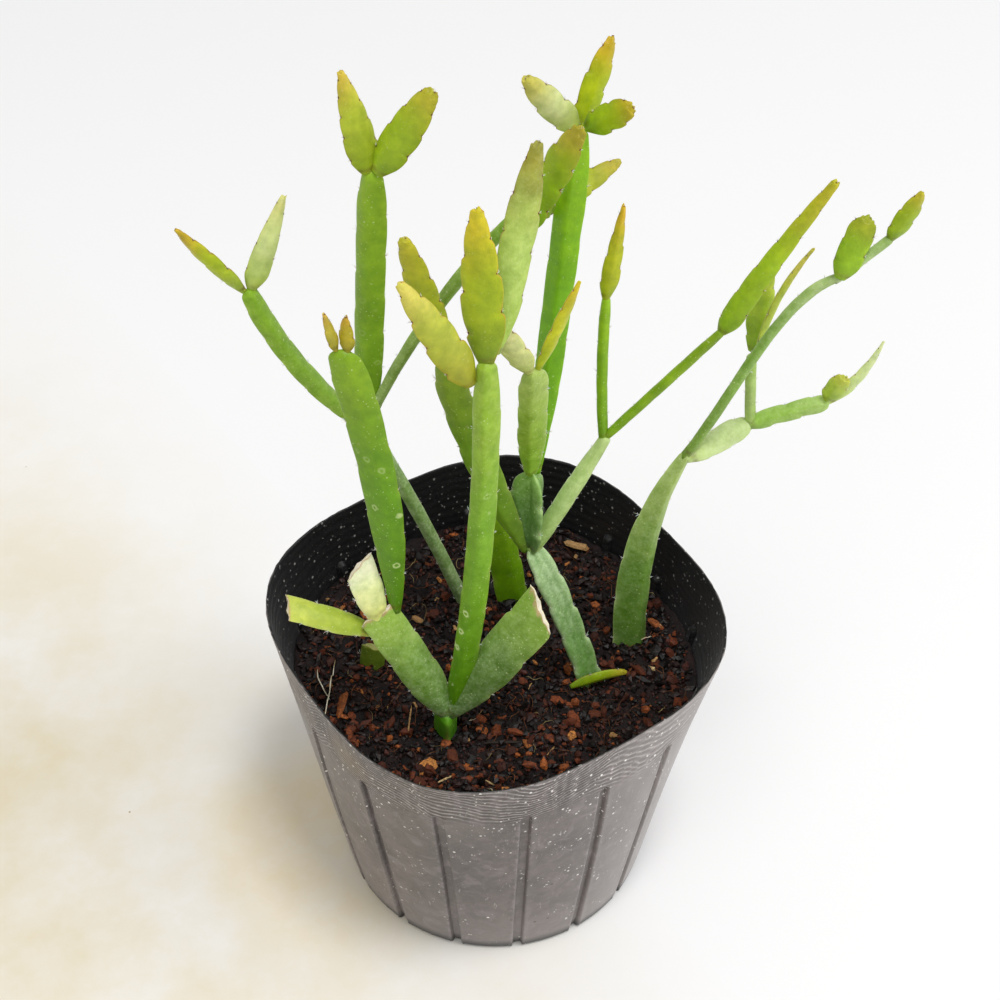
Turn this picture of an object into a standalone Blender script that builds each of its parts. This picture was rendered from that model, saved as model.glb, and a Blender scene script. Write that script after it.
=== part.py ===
"""A potted rhipsalis: rooted cuttings of a jointed, leafless succulent in a thin nursery pot.

Run it with blender --background --python part.py, or from the text editor. Metres, +Z up. The origin is the
middle of the pot's underside, and the front of the plant looks along -Y.
"""

import math

import bmesh
import bpy
from mathutils import Matrix, Vector, noise

MM = 0.001

# Pot, in millimetres
POT_RIM_RADIUS = 45.0
POT_BASE_RADIUS = 33.4
POT_HEIGHT = 72.0
POT_WALL = 0.8
BASE_BEVEL = 1.2
CORNER_SWELL = 2.2
CORNER_TURN = math.radians(-12)
CORNER_FADE = 3.0
GROOVES = 16
GROOVE_TURN = math.radians(-82)
GROOVE_DEPTH = 1.0
GROOVE_TOP = 58.5
GROOVE_END = 1.8
STEPS_PER_GROOVE = 4
GROOVE_BUNCHING = 3.0
DRAIN_HOLES = 6
DRAIN_HOLE_RADIUS = 4.0
DRAIN_RING_RADIUS = 20.0

# Soil, in millimetres
SOIL_TOP = 56.0
SOIL_GAP = 0.8
CRUMB_HEIGHT = 1.4
CRUMB_SPACING = 5.0
SOIL_RINGS = (0.94, 0.82, 0.68, 0.54, 0.4, 0.25, 0.12)
CHIP_THICKNESS = 2.0
CHIP_LIFT = 0.3
# x, y, length, width, turn and tilt of each bark chip that lies in the soil
BARK_CHIPS = (
    (-31, -20, 5.5, 2.4, 65, -30),
    (-25.5, -25, 4.5, 2.2, 75, -15),
    (-13, -32, 6.0, 4.0, 20, 8),
    (4, -27, 8.0, 1.8, 12, 4),
    (19, -21, 4.0, 3.0, 50, 12),
    (17, 11, 5.0, 2.6, -10, 10),
    (-16, 4, 4.0, 3.0, 35, -10),
    (31, -10, 4.5, 3.2, 110, 10),
)
ROOT_DEPTH = 14.0
ROOT_GAP = 0.35

# Plant, in millimetres
PAD_GAP = 0.35
SINK = 1.2
TOWARDS_VIEWER = Vector((0.0, -1.0, 0.75))
PAD_NOTCH = 0.22
STEM_NOTCH = 0.08
PAD_RINGS_PER_NOTCH = 4
STEM_RINGS_PER_NOTCH = 2
AREOLE_PLACE = 1.3
SHARP_EDGE = math.radians(50)


class Joint:
    """One grown length of the plant: a section swept along a bowed axis, with notched margins.

    Lengths are in millimetres. reach runs from the start to the tip, bow pushes the middle aside, and turn
    rolls the broad side in degrees. neck and tip are the widths at the ends as parts of the full width. The
    width grows over the rise and shrinks over the fall, both parts of the length. A late bow has its peak
    past the middle.
    """

    def __init__(self, start, reach, width, thick, turn=0.0, bow=(0.0, 0.0, 0.0), late=1.0, notches=4,
                 notch=STEM_NOTCH, neck=0.5, tip=0.55, rise=0.25, fall=0.15, wings=2, slant=0.0,
                 rings_per_notch=STEM_RINGS_PER_NOTCH, sides=8):
        self.start = Vector(start)
        self.reach = Vector(reach)
        self.bow = Vector(bow)
        self.late = late
        self.width = width
        self.thick = thick
        self.turn = math.radians(turn)
        self.notches = notches
        self.notch = notch
        self.neck = neck
        self.tip_width = tip
        self.rise = rise
        self.fall = fall
        self.wings = wings
        self.slant = slant
        self.sides = sides if wings == 2 else 9
        self.rings = notches * rings_per_notch

    def bend(self, along):
        """The bow's part at a point along: none at the ends and 1 at its peak."""
        late = self.late
        return along ** late * (1 - along) * (late + 1) ** (late + 1) / late ** late

    def axis(self, along):
        return self.start + self.reach * along + self.bow * self.bend(along)

    @property
    def tip(self):
        return self.axis(1.0)

    def directions(self, along):
        """The directions of the width, of the far side and of growth at a point along the axis."""
        growth = (self.axis(min(1.0, along + 0.01)) - self.axis(max(0.0, along - 0.01))).normalized()
        face = TOWARDS_VIEWER - growth * growth.dot(TOWARDS_VIEWER)
        face.rotate(Matrix.Rotation(self.turn, 3, growth))
        face.normalize()
        return growth.cross(face), -face, growth

    def swell(self, along):
        """The width's part of full width: narrow at the neck, full, then narrow at the tip."""
        start = self.neck + (1 - self.neck) * eased(along / self.rise)
        end = self.tip_width + (1 - self.tip_width) * eased((1 - along) / self.fall)
        return start * end

    def margin(self, along, wing):
        """The margin bulges between its areoles, and a wing's areoles lie between its neighbour's."""
        place = (along * self.notches + wing / self.wings) % 1.0
        return 1 - self.notch * (1 - math.sin(math.pi * place ** AREOLE_PLACE))

    def point(self, along, angle, grow=0.0):
        """A point of the skin, in millimetres, that lies grow outside it."""
        across, back, growth = self.directions(along)
        swell = self.swell(along)
        wing = round(angle / (2 * math.pi) * self.wings) % self.wings
        edge = self.margin(along, wing)
        if self.wings == 2:
            x = self.width / 2 * swell * edge * math.cos(angle)
            y = self.thick / 2 * (0.35 + 0.65 * swell) * math.sin(angle)
        else:
            crest = 0.5 + 0.5 * math.cos(self.wings * angle)
            radius = (self.thick + (self.width * edge - self.thick) * crest) / 2 * swell
            x = radius * math.cos(angle)
            y = radius * math.sin(angle)
        outward = Vector((x, y)).normalized()
        skin = self.axis(along) + across * (x + grow * outward.x) + back * (y + grow * outward.y)
        lean = self.slant * along ** 4 * x / (self.width / 2)
        end_grow = grow if along > 0.999 else -grow if along < 0.001 else 0.0
        return skin + growth * (lean + end_grow)


def eased(part):
    return math.sin(math.pi / 2 * min(1.0, max(0.0, part)))


def pad(start, reach, width, thick=1.9, **shape):
    """A young pad: a thin blade that stands a little clear of the joint that carries it."""
    reach = Vector(reach)
    settings = dict(notches=4, notch=PAD_NOTCH, neck=0.4, tip=0.3, rise=0.3, fall=0.45,
                    rings_per_notch=PAD_RINGS_PER_NOTCH, sides=6)
    settings.update(shape)
    return Joint(Vector(start) + reach.normalized() * PAD_GAP, reach, width, thick, **settings)


def pad_on(parent, reach, *sizes, aside=(0.0, 0.0, 0.0), **shape):
    """A pad on a joint's tip, set aside from its middle."""
    return pad(parent.tip + Vector(aside), reach, *sizes, **shape)


def from_tip(parent, reach, *sizes, aside=(0.0, 0.0, 0.0), **shape):
    """A joint that grows on another's tip, sunk into it so that the two fuse."""
    reach = Vector(reach)
    start = parent.tip + Vector(aside) - reach.normalized() * SINK
    return Joint(start, reach + reach.normalized() * SINK, *sizes, **shape)


def rooted(x, y, reach, *sizes, **shape):
    """A joint that stands in the soil: it starts below the surface on the same slope."""
    reach = Vector(reach)
    buried = reach.normalized() * ROOT_DEPTH
    return Joint(Vector((x, y, SOIL_TOP)) - buried, reach + buried, *sizes, **shape)


def link(name, mesh, collection):
    thing = bpy.data.objects.new(name, mesh)
    collection.objects.link(thing)
    return thing


def swept(name, joint, collection, grow=0.0):
    """A unit cylinder, cut into rings, with every point moved to its place on the joint."""
    bm = bmesh.new()
    upright = Matrix.Translation((0, 0, 0.5)) @ Matrix.Rotation(math.pi / 2, 4, "Z")
    bmesh.ops.create_cone(bm, cap_ends=True, segments=joint.sides, radius1=1, radius2=1, depth=1,
                          matrix=upright)
    lengthwise = [e for e in bm.edges if abs(e.verts[0].co.z - e.verts[1].co.z) > 0.5]
    bmesh.ops.subdivide_edges(bm, edges=lengthwise, cuts=joint.rings - 1, use_grid_fill=True)
    for v in bm.verts:
        v.co = joint.point(v.co.z, math.atan2(v.co.y, v.co.x), grow) * MM
    mesh = bpy.data.meshes.new(name)
    bm.to_mesh(mesh)
    bm.free()
    return link(name, mesh, collection)


def applied(thing):
    """Replaces an object's mesh by the one its modifiers make."""
    graph = bpy.context.evaluated_depsgraph_get()
    mesh = bpy.data.meshes.new_from_object(thing.evaluated_get(graph))
    thing.modifiers.clear()
    thing.data = mesh
    mesh.name = thing.name


def boolean(thing, operation, collection):
    change = thing.modifiers.new(operation.title(), "BOOLEAN")
    change.operation = operation
    change.operand_type = "COLLECTION"
    change.collection = collection
    change.solver = "EXACT"


def discard(collection):
    for thing in list(collection.objects):
        bpy.data.objects.remove(thing)
    bpy.data.collections.remove(collection)


def fused(name, joints, plant, material):
    """One solid from joints that overlap at their necks."""
    extras = bpy.data.collections.new(name + "_joints")
    bpy.context.scene.collection.children.link(extras)
    body = swept(name, joints[0], plant)
    for joint in joints[1:]:
        swept(name + "_joint", joint, extras)
    boolean(body, "UNION", extras)
    applied(body)
    discard(extras)
    finish(body, material)
    return body


def finish(thing, material):
    thing.data.materials.clear()
    thing.data.materials.append(material)
    thing.data.shade_smooth()
    thing.data.set_sharp_from_angle(angle=SHARP_EDGE)


def linear(channel):
    return channel / 12.92 if channel <= 0.04045 else ((channel + 0.055) / 1.055) ** 2.4


def colour(code):
    return [linear(int(code[i:i + 2], 16) / 255) for i in (0, 2, 4)] + [1.0]


def surface(name, code, roughness):
    material = bpy.data.materials.new(name)
    material.use_nodes = True
    shader = material.node_tree.nodes["Principled BSDF"]
    shader.inputs["Base Color"].default_value = colour(code)
    shader.inputs["Roughness"].default_value = roughness
    shader.inputs["Metallic"].default_value = 0.0
    return material


def bunched(angle):
    """Moves evenly spaced steps towards the nearest groove, so that the groove is narrow and crisp."""
    sector = 2 * math.pi / GROOVES
    nearest = round((angle - GROOVE_TURN) / sector) * sector + GROOVE_TURN
    aside = (angle - nearest) / (sector / 2)
    return nearest + math.copysign(abs(aside) ** GROOVE_BUNCHING, aside) * sector / 2


def dent(angle, height):
    """How far the pot's wall stands out there: four soft corners at the rim, and the pressed grooves."""
    corners = CORNER_SWELL * (height / POT_HEIGHT) ** CORNER_FADE * math.cos(4 * (angle - CORNER_TURN))
    sector = 2 * math.pi / GROOVES
    nearest = round((angle - GROOVE_TURN) / sector) * sector + GROOVE_TURN
    half_width = (2 / STEPS_PER_GROOVE) ** GROOVE_BUNCHING * sector / 2
    across = max(0.0, 1 - abs(angle - nearest) / half_width)
    along = min(1.0, max(0.0, (GROOVE_TOP - height) / GROOVE_END))
    return corners - GROOVE_DEPTH * across * along


def wall_radius(height):
    return POT_BASE_RADIUS + (POT_RIM_RADIUS - POT_BASE_RADIUS) * height / POT_HEIGHT


def turned(name, profile, collection):
    """Spins a profile of (radius, height) points once round, then gives it the pot's corners and grooves."""
    bm = bmesh.new()
    corners = [bm.verts.new((radius, 0, height)) for radius, height in profile]
    edges = [bm.edges.new(pair) for pair in zip(corners, corners[1:])]
    steps = GROOVES * STEPS_PER_GROOVE
    bmesh.ops.spin(bm, geom=corners + edges, cent=(0, 0, 0), axis=(0, 0, 1), angle=2 * math.pi, steps=steps,
                   use_merge=True)
    bmesh.ops.rotate(bm, verts=bm.verts, matrix=Matrix.Rotation(GROOVE_TURN, 3, "Z"))
    bmesh.ops.remove_doubles(bm, verts=bm.verts, dist=0.01)
    for v in bm.verts:
        radius = math.hypot(v.co.x, v.co.y)
        if radius < 0.01:
            continue
        angle = bunched(math.atan2(v.co.y, v.co.x))
        near_wall = min(1.0, radius / (wall_radius(v.co.z) - POT_WALL - SOIL_GAP - BASE_BEVEL)) ** 8
        radius += dent(angle, v.co.z) * near_wall
        v.co = Vector((radius * math.cos(angle), radius * math.sin(angle), v.co.z))
    bmesh.ops.recalc_face_normals(bm, faces=bm.faces)
    if min(bm.faces, key=lambda f: f.calc_center_median().z).normal.z > 0:
        bmesh.ops.reverse_faces(bm, faces=bm.faces)
    bmesh.ops.scale(bm, verts=bm.verts, vec=(MM, MM, MM))
    mesh = bpy.data.meshes.new(name)
    bm.to_mesh(mesh)
    bm.free()
    return link(name, mesh, collection)


def make_pot(plant, cutters):
    """The thin pot: a turned skin with grooves, given its wall, with drain holes round a plain middle."""
    heights = (BASE_BEVEL, GROOVE_TOP - GROOVE_END, GROOVE_TOP, POT_HEIGHT)
    profile = [(0, 0), (DRAIN_RING_RADIUS, 0), (POT_BASE_RADIUS - BASE_BEVEL, 0)]
    profile += [(wall_radius(height), height) for height in heights]
    pot = turned("pot", profile, plant)
    wall = pot.modifiers.new("Wall", "SOLIDIFY")
    wall.thickness = POT_WALL * MM
    wall.offset = -1
    holes = bpy.data.collections.new("drain_holes")
    cutters.children.link(holes)
    for i in range(DRAIN_HOLES):
        angle = 2 * math.pi * i / DRAIN_HOLES
        bm = bmesh.new()
        bmesh.ops.create_cone(bm, cap_ends=True, segments=12, radius1=DRAIN_HOLE_RADIUS * MM,
                              radius2=DRAIN_HOLE_RADIUS * MM, depth=4 * POT_WALL * MM)
        mesh = bpy.data.meshes.new("drain_hole")
        bm.to_mesh(mesh)
        bm.free()
        hole = link("drain_hole", mesh, holes)
        hole.location = Vector((math.cos(angle), math.sin(angle), 0)) * DRAIN_RING_RADIUS * MM
        hide(hole)
    boolean(pot, "DIFFERENCE", holes)
    finish(pot, surface("black_polyethylene", "2A2A2B", 0.45))


def hide(thing):
    thing.hide_render = True
    thing.display_type = "WIRE"


def make_soil(plant, cutters, feet):
    """Coir and peat that fills the pot: a crumbly top with bark chips, and a plain hole for each stem."""
    floor = POT_WALL + 2 * PAD_GAP
    rim = wall_radius(SOIL_TOP) - POT_WALL - SOIL_GAP
    foot = wall_radius(floor) - POT_WALL - SOIL_GAP - BASE_BEVEL
    profile = [(0, floor), (foot, floor), (rim, SOIL_TOP)]
    profile += [(rim * part, SOIL_TOP) for part in SOIL_RINGS]
    profile += [(0, SOIL_TOP)]
    soil = turned("soil", profile, plant)
    for v in soil.data.vertices:
        if v.co.z > (SOIL_TOP - 1) * MM:
            place = v.co / MM
            v.co.z += CRUMB_HEIGHT * noise.noise(place / CRUMB_SPACING) * MM
    chips = bpy.data.collections.new("bark_chips")
    bpy.context.scene.collection.children.link(chips)
    for x, y, length, width, turn, tilt in BARK_CHIPS:
        bm = bmesh.new()
        bmesh.ops.create_cube(bm, size=1, matrix=Matrix.Diagonal((length, width, CHIP_THICKNESS, 1)))
        bmesh.ops.rotate(bm, verts=bm.verts, matrix=Matrix.Rotation(math.radians(tilt), 3, "Y"))
        bmesh.ops.rotate(bm, verts=bm.verts, matrix=Matrix.Rotation(math.radians(turn), 3, "Z"))
        bmesh.ops.translate(bm, verts=bm.verts, vec=(x, y, SOIL_TOP + CHIP_LIFT))
        bmesh.ops.scale(bm, verts=bm.verts, vec=(MM, MM, MM))
        mesh = bpy.data.meshes.new("bark_chip")
        bm.to_mesh(mesh)
        bm.free()
        link("bark_chip", mesh, chips)
    boolean(soil, "UNION", chips)
    applied(soil)
    discard(chips)
    holes = bpy.data.collections.new("stem_holes")
    cutters.children.link(holes)
    for joint in feet:
        hide(swept("stem_hole", joint, holes, grow=ROOT_GAP))
    boolean(soil, "DIFFERENCE", holes)
    finish(soil, surface("coir_and_peat", "3A2418", 0.9))


def front_stem():
    """The cutting at the front: cut-back flats low down, a tall flat on the left, a tall central stem."""
    foot = rooted(-9.8, -19.4, (0.2, -1.7, 9.0), 5.2, 4.2, wings=3, turn=40, neck=0.9, tip=0.8, notches=2)
    left_flat = from_tip(foot, (-12.5, 3.0, 24.6), 7.8, 3.2, notches=4, neck=0.4, tip=0.95, rise=0.45,
                         turn=8, bow=(0.6, 0, -0.6))
    right_flat = from_tip(foot, (17.5, 1.5, 27.0), 9.2, 3.2, notches=4, neck=0.35, tip=1.0, rise=0.5,
                          slant=-2.8, turn=-8, aside=(0.8, 0, 0))
    short_top = from_tip(left_flat, (-3, 2, 11), 6.2, 2.4, notches=3, neck=0.55, tip=1.0, rise=0.6,
                         slant=1.6, turn=20)
    short_side = from_tip(left_flat, (-14.5, 0, 6.0), 5.0, 2.0, notches=3, neck=0.5, tip=1.0, rise=0.5,
                          slant=0.8, turn=30, aside=(-2.2, -0.4, -3.7))
    tall_flat = from_tip(left_flat, (-6.5, 2.5, 58.0), 6.9, 3.0, notches=6, neck=0.3, tip=0.5, rise=0.45,
                         fall=0.2, bow=(1.8, 0, 0), turn=-15, aside=(3.2, 1.5, 0.5))
    tall_stem = from_tip(foot, (6.6, 3.5, 84.5), 4.9, 4.2, notches=9, neck=0.75, tip=0.7, rise=0.1,
                         bow=(1.8, 0, 0), notch=0.05, aside=(1.8, 1.0, 0))
    joints = (foot, left_flat, right_flat, short_top, short_side, tall_flat, tall_stem)
    pads = {
        "front_bud_left": pad_on(tall_flat, (-1.4, -1, 7.6), 2.2, 1.3, turn=30, notches=3,
                                 aside=(-0.9, 0, 0.2)),
        "front_bud_right": pad_on(tall_flat, (0.1, 0.5, 5.8), 2.8, 1.3, turn=-20, notches=3,
                                  aside=(1.1, 0, 0.1)),
        "front_pad_upright": pad_on(tall_stem, (-1.5, 4, 27.6), 7.0, 2.2, rise=0.14, fall=0.5, tip=0.2,
                                    turn=-10, notches=5),
        "front_pad_left": pad_on(tall_stem, (-11.0, -6.5, 25.4), 6.2, 2.0, rise=0.25, tip=0.25, notches=5,
                                 turn=10, aside=(-2.6, -0.9, -3.8)),
        "front_pad_tall": pad_on(tall_stem, (6.8, 8, 35.4), 6.0, 2.1, notches=5, tip=0.45, fall=0.3,
                                 neck=0.35, turn=18, aside=(1.4, 2.0, 0.5)),
    }
    return joints, pads


def centre_stem():
    """The cutting right of the middle: an angled foot that forks into four, with pads on every end."""
    foot = rooted(18.2, -4.9, (-11.2, 4.9, 33.6), 6.2, 4.2, wings=3, turn=-25, notches=6, neck=0.9, tip=0.6,
                  bow=(1.2, 0, 0))
    left_arm = from_tip(foot, (-14.8, 0, 46.5), 6.4, 2.6, notches=6, neck=0.35, tip=0.5, rise=0.5, turn=-18,
                        bow=(-1.4, 0, 0), aside=(-1.0, 0, 0))
    winged = from_tip(foot, (0, 2, 18), 7.4, 4.4, wings=3, turn=-40, notches=3, neck=0.45, tip=0.55,
                      rise=0.4, fall=0.3, notch=0.12)
    pale_joint = from_tip(winged, (0, -8, 31.5), 5.6, 3.2, notches=5, neck=0.4, tip=0.6, rise=0.4, turn=12)
    tall_broad = from_tip(winged, (6.5, 5.5, 71.0), 5.2, 3.0, notches=7, neck=0.4, tip=0.55, rise=0.4,
                          turn=-18, aside=(0.9, 1.2, 0))
    right_arm = from_tip(foot, (13.6, 6, 23.5), 3.6, 3.0, notches=4, neck=0.75, tip=0.6, fall=0.5,
                         aside=(0.8, 0, 0))
    upright_rod = from_tip(right_arm, (-0.6, 2, 31), 2.1, 1.9, notches=5, neck=0.8, tip=0.7, sides=6,
                           bow=(-0.5, 0, 0), aside=(-0.7, 0, 0))
    long_rod = from_tip(right_arm, (19.4, -2, 26.4), 1.9, 1.8, notches=5, neck=0.8, tip=0.8, sides=6)
    joints = (foot, left_arm, winged, pale_joint, tall_broad, right_arm, upright_rod, long_rod)
    pads = {
        "centre_pad_left": pad_on(left_arm, (-6.8, -3, 28.6), 5.0, notches=5, turn=-25, aside=(0.6, 0, 0)),
        "centre_pad_cream": pad_on(pale_joint, (-6, -4, 14.0), 4.8, neck=0.35, tip=0.35, turn=-30,
                                   notches=3, aside=(-1.0, -0.5, 0)),
        "centre_pad_thin": pad_on(pale_joint, (6.4, -2, 20), 3.2, 1.5, turn=60, tip=0.2,
                                  aside=(0.9, 0.4, 0)),
        "centre_pad_top_left": pad_on(tall_broad, (-8.8, -5.4, 12.8), 4.6, tip=0.35, fall=0.4, turn=-15,
                                      notches=3, aside=(-0.7, -0.6, -0.1)),
        "centre_pad_top": pad_on(tall_broad, (4.9, 4, 13.8), 4.2, tip=0.25, turn=35, notches=3,
                                 aside=(0, 0.9, 0)),
        "centre_pad_top_right": pad_on(tall_broad, (6.8, -4, 6.4), 4.6, tip=0.5, fall=0.35, notches=3,
                                       turn=10, aside=(1.3, -0.8, 0.4)),
        "centre_pad_rod": pad_on(upright_rod, (2.2, 0, 19.4), 3.4, tip=0.2, rise=0.25, fall=0.9, turn=15,
                                 aside=(0, 0, 0.1)),
        "centre_pad_long": pad_on(long_rod, (16.0, -2, 32.8), 4.1, tip=0.2, rise=0.15, fall=1.1,
                                  notches=6, turn=-20, bow=(-0.5, 0, 0)),
        "base_shoot": pad((15.9, -9.2, SOIL_TOP + 2.4), (11, 3.2, 0.6), 2.6, 1.4, notches=2, turn=60,
                          bow=(0, 0, 0.6)),
    }
    return joints, pads


def left_stem():
    """The thin cutting that leans left: an upright flat, an arm out to the left and one to the right."""
    foot = rooted(-7.0, 15.6, (-17.6, -1.5, 52.4), 2.9, 2.5, notches=6, neck=0.9, tip=0.7,
                  bow=(1.2, 0, 0), notch=0.05, sides=6)
    upright = from_tip(foot, (4.2, -4, 61), 5.2, 3.0, notches=7, neck=0.35, tip=0.6, rise=0.35, turn=-12)
    left_arm = from_tip(foot, (-19.5, -4, 36), 3.9, 3.0, notches=6, neck=0.45, tip=0.75, rise=0.5,
                        bow=(-2, 0, -1.6), turn=20)
    right_arm = from_tip(foot, (28.2, -10, 55.6), 2.8, 2.3, notches=7, neck=0.7, tip=0.75, rise=1.0,
                         bow=(-2.2, 0, 0.8), turn=25, sides=6)
    joints = (foot, upright, left_arm, right_arm)
    pads = {
        "left_pad_top_left": pad_on(upright, (-3.6, 0.5, 18.6), 5.0, tip=0.25, turn=20, notches=5,
                                    aside=(-0.8, 0, 0)),
        "left_pad_top_right": pad_on(upright, (9.9, -2, 16.6), 5.6, rise=0.35, tip=0.45, fall=0.4,
                                     turn=-12, aside=(0.9, -0.6, 0.2)),
        "left_pad_outer": pad_on(left_arm, (-9.8, -2, 14.3), 4.0, turn=-50, tip=0.2, aside=(-0.9, 0, 0)),
        "left_pad_pale": pad_on(left_arm, (7, 2, 18.2), 4.2, rise=0.18, tip=0.2, fall=0.8, turn=25,
                                aside=(0.9, 0.5, 0.2)),
        "inner_pad_front": pad_on(right_arm, (9.6, -4, 22.4), 5.6, rise=0.2, tip=0.4, fall=0.4,
                                  turn=-15, notches=5, aside=(0.9, -1.4, -1.6)),
        "inner_pad_back": pad_on(right_arm, (18.0, 15.2, 1.0), 4.6, rise=0.15, tip=0.3, turn=10,
                                 bow=(0, 1.2, -1.8), notches=5, aside=(0.7, 1.0, -0.3)),
    }
    return joints, pads


def right_stem():
    """The cutting at the right: a broad flat, a long thin arm that arches out, and a pale arm that forks."""
    foot = rooted(30.1, 4.8, (7.0, 3.2, 50.7), 7.8, 3.0, notches=6, neck=0.95, tip=0.3, fall=0.6, turn=10,
                  bow=(-4.4, 0, 0), late=1.5)
    arched = from_tip(foot, (24.0, 0, 41.6), 2.0, 1.6, notches=7, neck=0.9, tip=0.8, bow=(-0.9, 0, 4.8),
                      late=2.0, sides=6)
    arch_end = from_tip(arched, (8, 0, 8.5), 1.8, 1.5, notches=2, neck=0.8, tip=0.9, sides=6)
    pale_flat = from_tip(foot, (12.0, 6, 3.2), 5.0, 2.2, notches=3, neck=0.45, tip=0.55, rise=0.4,
                         fall=0.3, aside=(0.6, 0.4, -1.0))
    fork_up = from_tip(pale_flat, (-1.4, 0, 17), 2.2, 1.8, notches=3, neck=0.8, tip=0.7, sides=6)
    fork_out = from_tip(pale_flat, (14.8, 0, 5.5), 3.8, 2.2, notches=3, neck=0.6, tip=0.6, notch=0.14,
                        turn=12)
    joints = (foot, arched, arch_end, pale_flat, fork_up, fork_out)
    pads = {
        "right_pad_oval": pad_on(arched, (3.6, 2.0, 11.2), 4.8, rise=0.3, tip=0.45, fall=0.3,
                                 turn=-10, notches=3, aside=(-0.1, -1.3, 1.2)),
        "right_pad_end": pad_on(arch_end, (3.5, -2, 10.8), 3.6, tip=0.2, notches=3, turn=15),
        "fork_pad_flat": pad_on(fork_up, (1.5, 2, 20), 4.6, rise=0.3, tip=0.2, fall=0.7, turn=-20,
                                notches=5, aside=(0.5, 0.9, 0.5)),
        "fork_pad_thin": pad_on(fork_up, (7.2, -3.5, 27.2), 2.6, 1.3, turn=65, tip=0.2,
                                bow=(-1.4, 0, 1.0), notches=5, aside=(0.9, -0.9, 0)),
        "low_pad_oval": pad_on(fork_out, (2.2, -1.6, 6.8), 3.8, tip=0.5, fall=0.4, notches=2,
                               aside=(-0.6, -0.6, 1.1)),
        "low_pad_pointed": pad_on(fork_out, (8.2, 0.6, 13.9), 3.0, 1.3, rise=0.3, tip=0.15, fall=0.8,
                                  turn=30, bow=(1.0, 0, -0.6), aside=(0.2, 0.2, -0.2)),
    }
    return joints, pads


def back_flat_stem():
    """A short flat stem that stands behind the tall central one."""
    joint = rooted(4.0, 17.3, (-4.5, -0.3, 29.4), 7.0, 2.8, notches=5, neck=0.7, tip=0.45, fall=0.35,
                   turn=12)
    return (joint,), {}


def cut_stub():
    """A short piece that stands in the soil behind the cut-back flats."""
    joint = rooted(-25.5, -1.7, (0.6, -0.6, 7.0), 5.2, 2.6, notches=3, neck=0.8, tip=0.9, turn=-10)
    return (joint,), {}


CUTTINGS = (
    ("front_stem", front_stem, "5E9A2C"),
    ("centre_stem", centre_stem, "6FA63A"),
    ("left_stem", left_stem, "6BA52F"),
    ("right_stem", right_stem, "86A85C"),
    ("back_flat_stem", back_flat_stem, "7FB030"),
    ("cut_stub", cut_stub, "7A9A3A"),
)
PAD_COLOUR = "B9C433"


def main():
    for thing in list(bpy.data.objects):
        bpy.data.objects.remove(thing)
    plant = bpy.data.collections.new("potted_rhipsalis")
    cutters = bpy.data.collections.new("cutters")
    bpy.context.scene.collection.children.link(plant)
    bpy.context.scene.collection.children.link(cutters)
    feet = []
    for name, grow, code in CUTTINGS:
        joints, pads = grow()
        feet.append(joints[0])
        fused(name, joints, plant, surface(name + "_skin", code, 0.45))
        for pad_name, joint in pads.items():
            finish(swept(pad_name, joint, plant), surface(pad_name + "_skin", PAD_COLOUR, 0.4))
    make_pot(plant, cutters)
    make_soil(plant, cutters, feet)


main()
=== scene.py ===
"""The looks of the potted rhipsalis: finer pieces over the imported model, their materials, light and camera.

Sizes are in millimetres unless a name says otherwise, in the row's frame: +Z up, the front towards -Y.
"""

import math
import random

import bmesh
import bpy
from mathutils import Matrix, Vector, noise


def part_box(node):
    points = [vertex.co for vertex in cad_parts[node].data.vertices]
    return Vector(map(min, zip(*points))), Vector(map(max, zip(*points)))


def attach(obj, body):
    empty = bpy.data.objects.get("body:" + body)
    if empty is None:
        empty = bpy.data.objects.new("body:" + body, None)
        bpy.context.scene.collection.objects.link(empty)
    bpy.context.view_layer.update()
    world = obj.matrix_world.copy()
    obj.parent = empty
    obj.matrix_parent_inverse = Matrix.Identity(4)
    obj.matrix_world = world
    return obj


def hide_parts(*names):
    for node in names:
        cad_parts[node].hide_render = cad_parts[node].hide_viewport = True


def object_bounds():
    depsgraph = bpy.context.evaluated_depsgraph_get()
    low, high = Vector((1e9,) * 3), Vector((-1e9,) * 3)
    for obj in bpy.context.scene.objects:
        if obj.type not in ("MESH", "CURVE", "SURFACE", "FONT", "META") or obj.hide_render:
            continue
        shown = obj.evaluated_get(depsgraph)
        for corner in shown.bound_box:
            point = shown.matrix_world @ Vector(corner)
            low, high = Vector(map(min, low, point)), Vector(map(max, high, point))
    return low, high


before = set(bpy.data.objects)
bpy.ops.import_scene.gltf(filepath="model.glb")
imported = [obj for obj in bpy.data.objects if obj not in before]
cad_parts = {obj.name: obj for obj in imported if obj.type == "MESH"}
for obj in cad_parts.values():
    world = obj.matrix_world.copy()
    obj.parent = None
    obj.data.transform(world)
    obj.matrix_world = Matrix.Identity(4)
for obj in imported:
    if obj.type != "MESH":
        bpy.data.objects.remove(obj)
cad_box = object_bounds()

# The nursery pot: black polyethylene film, blown so thin that its round rim has gone soft and a little square.
# The mould pressed sixteen grooves into its wall and left fine wandering ripples in the plain band above them.
# A haze of hard-water bloom and dust greys the outside, lightened further as a painted reflection of the white
# room, and the inside stays black.
MM = 0.001
RIM_RADIUS = 44.9
BASE_RADIUS = 33.35
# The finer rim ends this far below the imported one.
RIM_ROOM = 0.25
POT_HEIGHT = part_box("pot")[1].z / MM - RIM_ROOM
FILM = 0.8
RIM_FILM = 0.45
RIM_ROUNDING = 0.12
BASE_BEVEL = 1.2
CORNER_SWELL = 2.2
CORNER_TURN = math.radians(-12)
CORNER_FADE = 3.0
GROOVES = 16
GROOVE_TURN = math.radians(-82)
GROOVE_HALF_WIDTH = 1.15
GROOVE_SLOPE = 0.35
GROOVE_DEPTH = 0.95
GROOVE_LIP = 0.1
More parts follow.
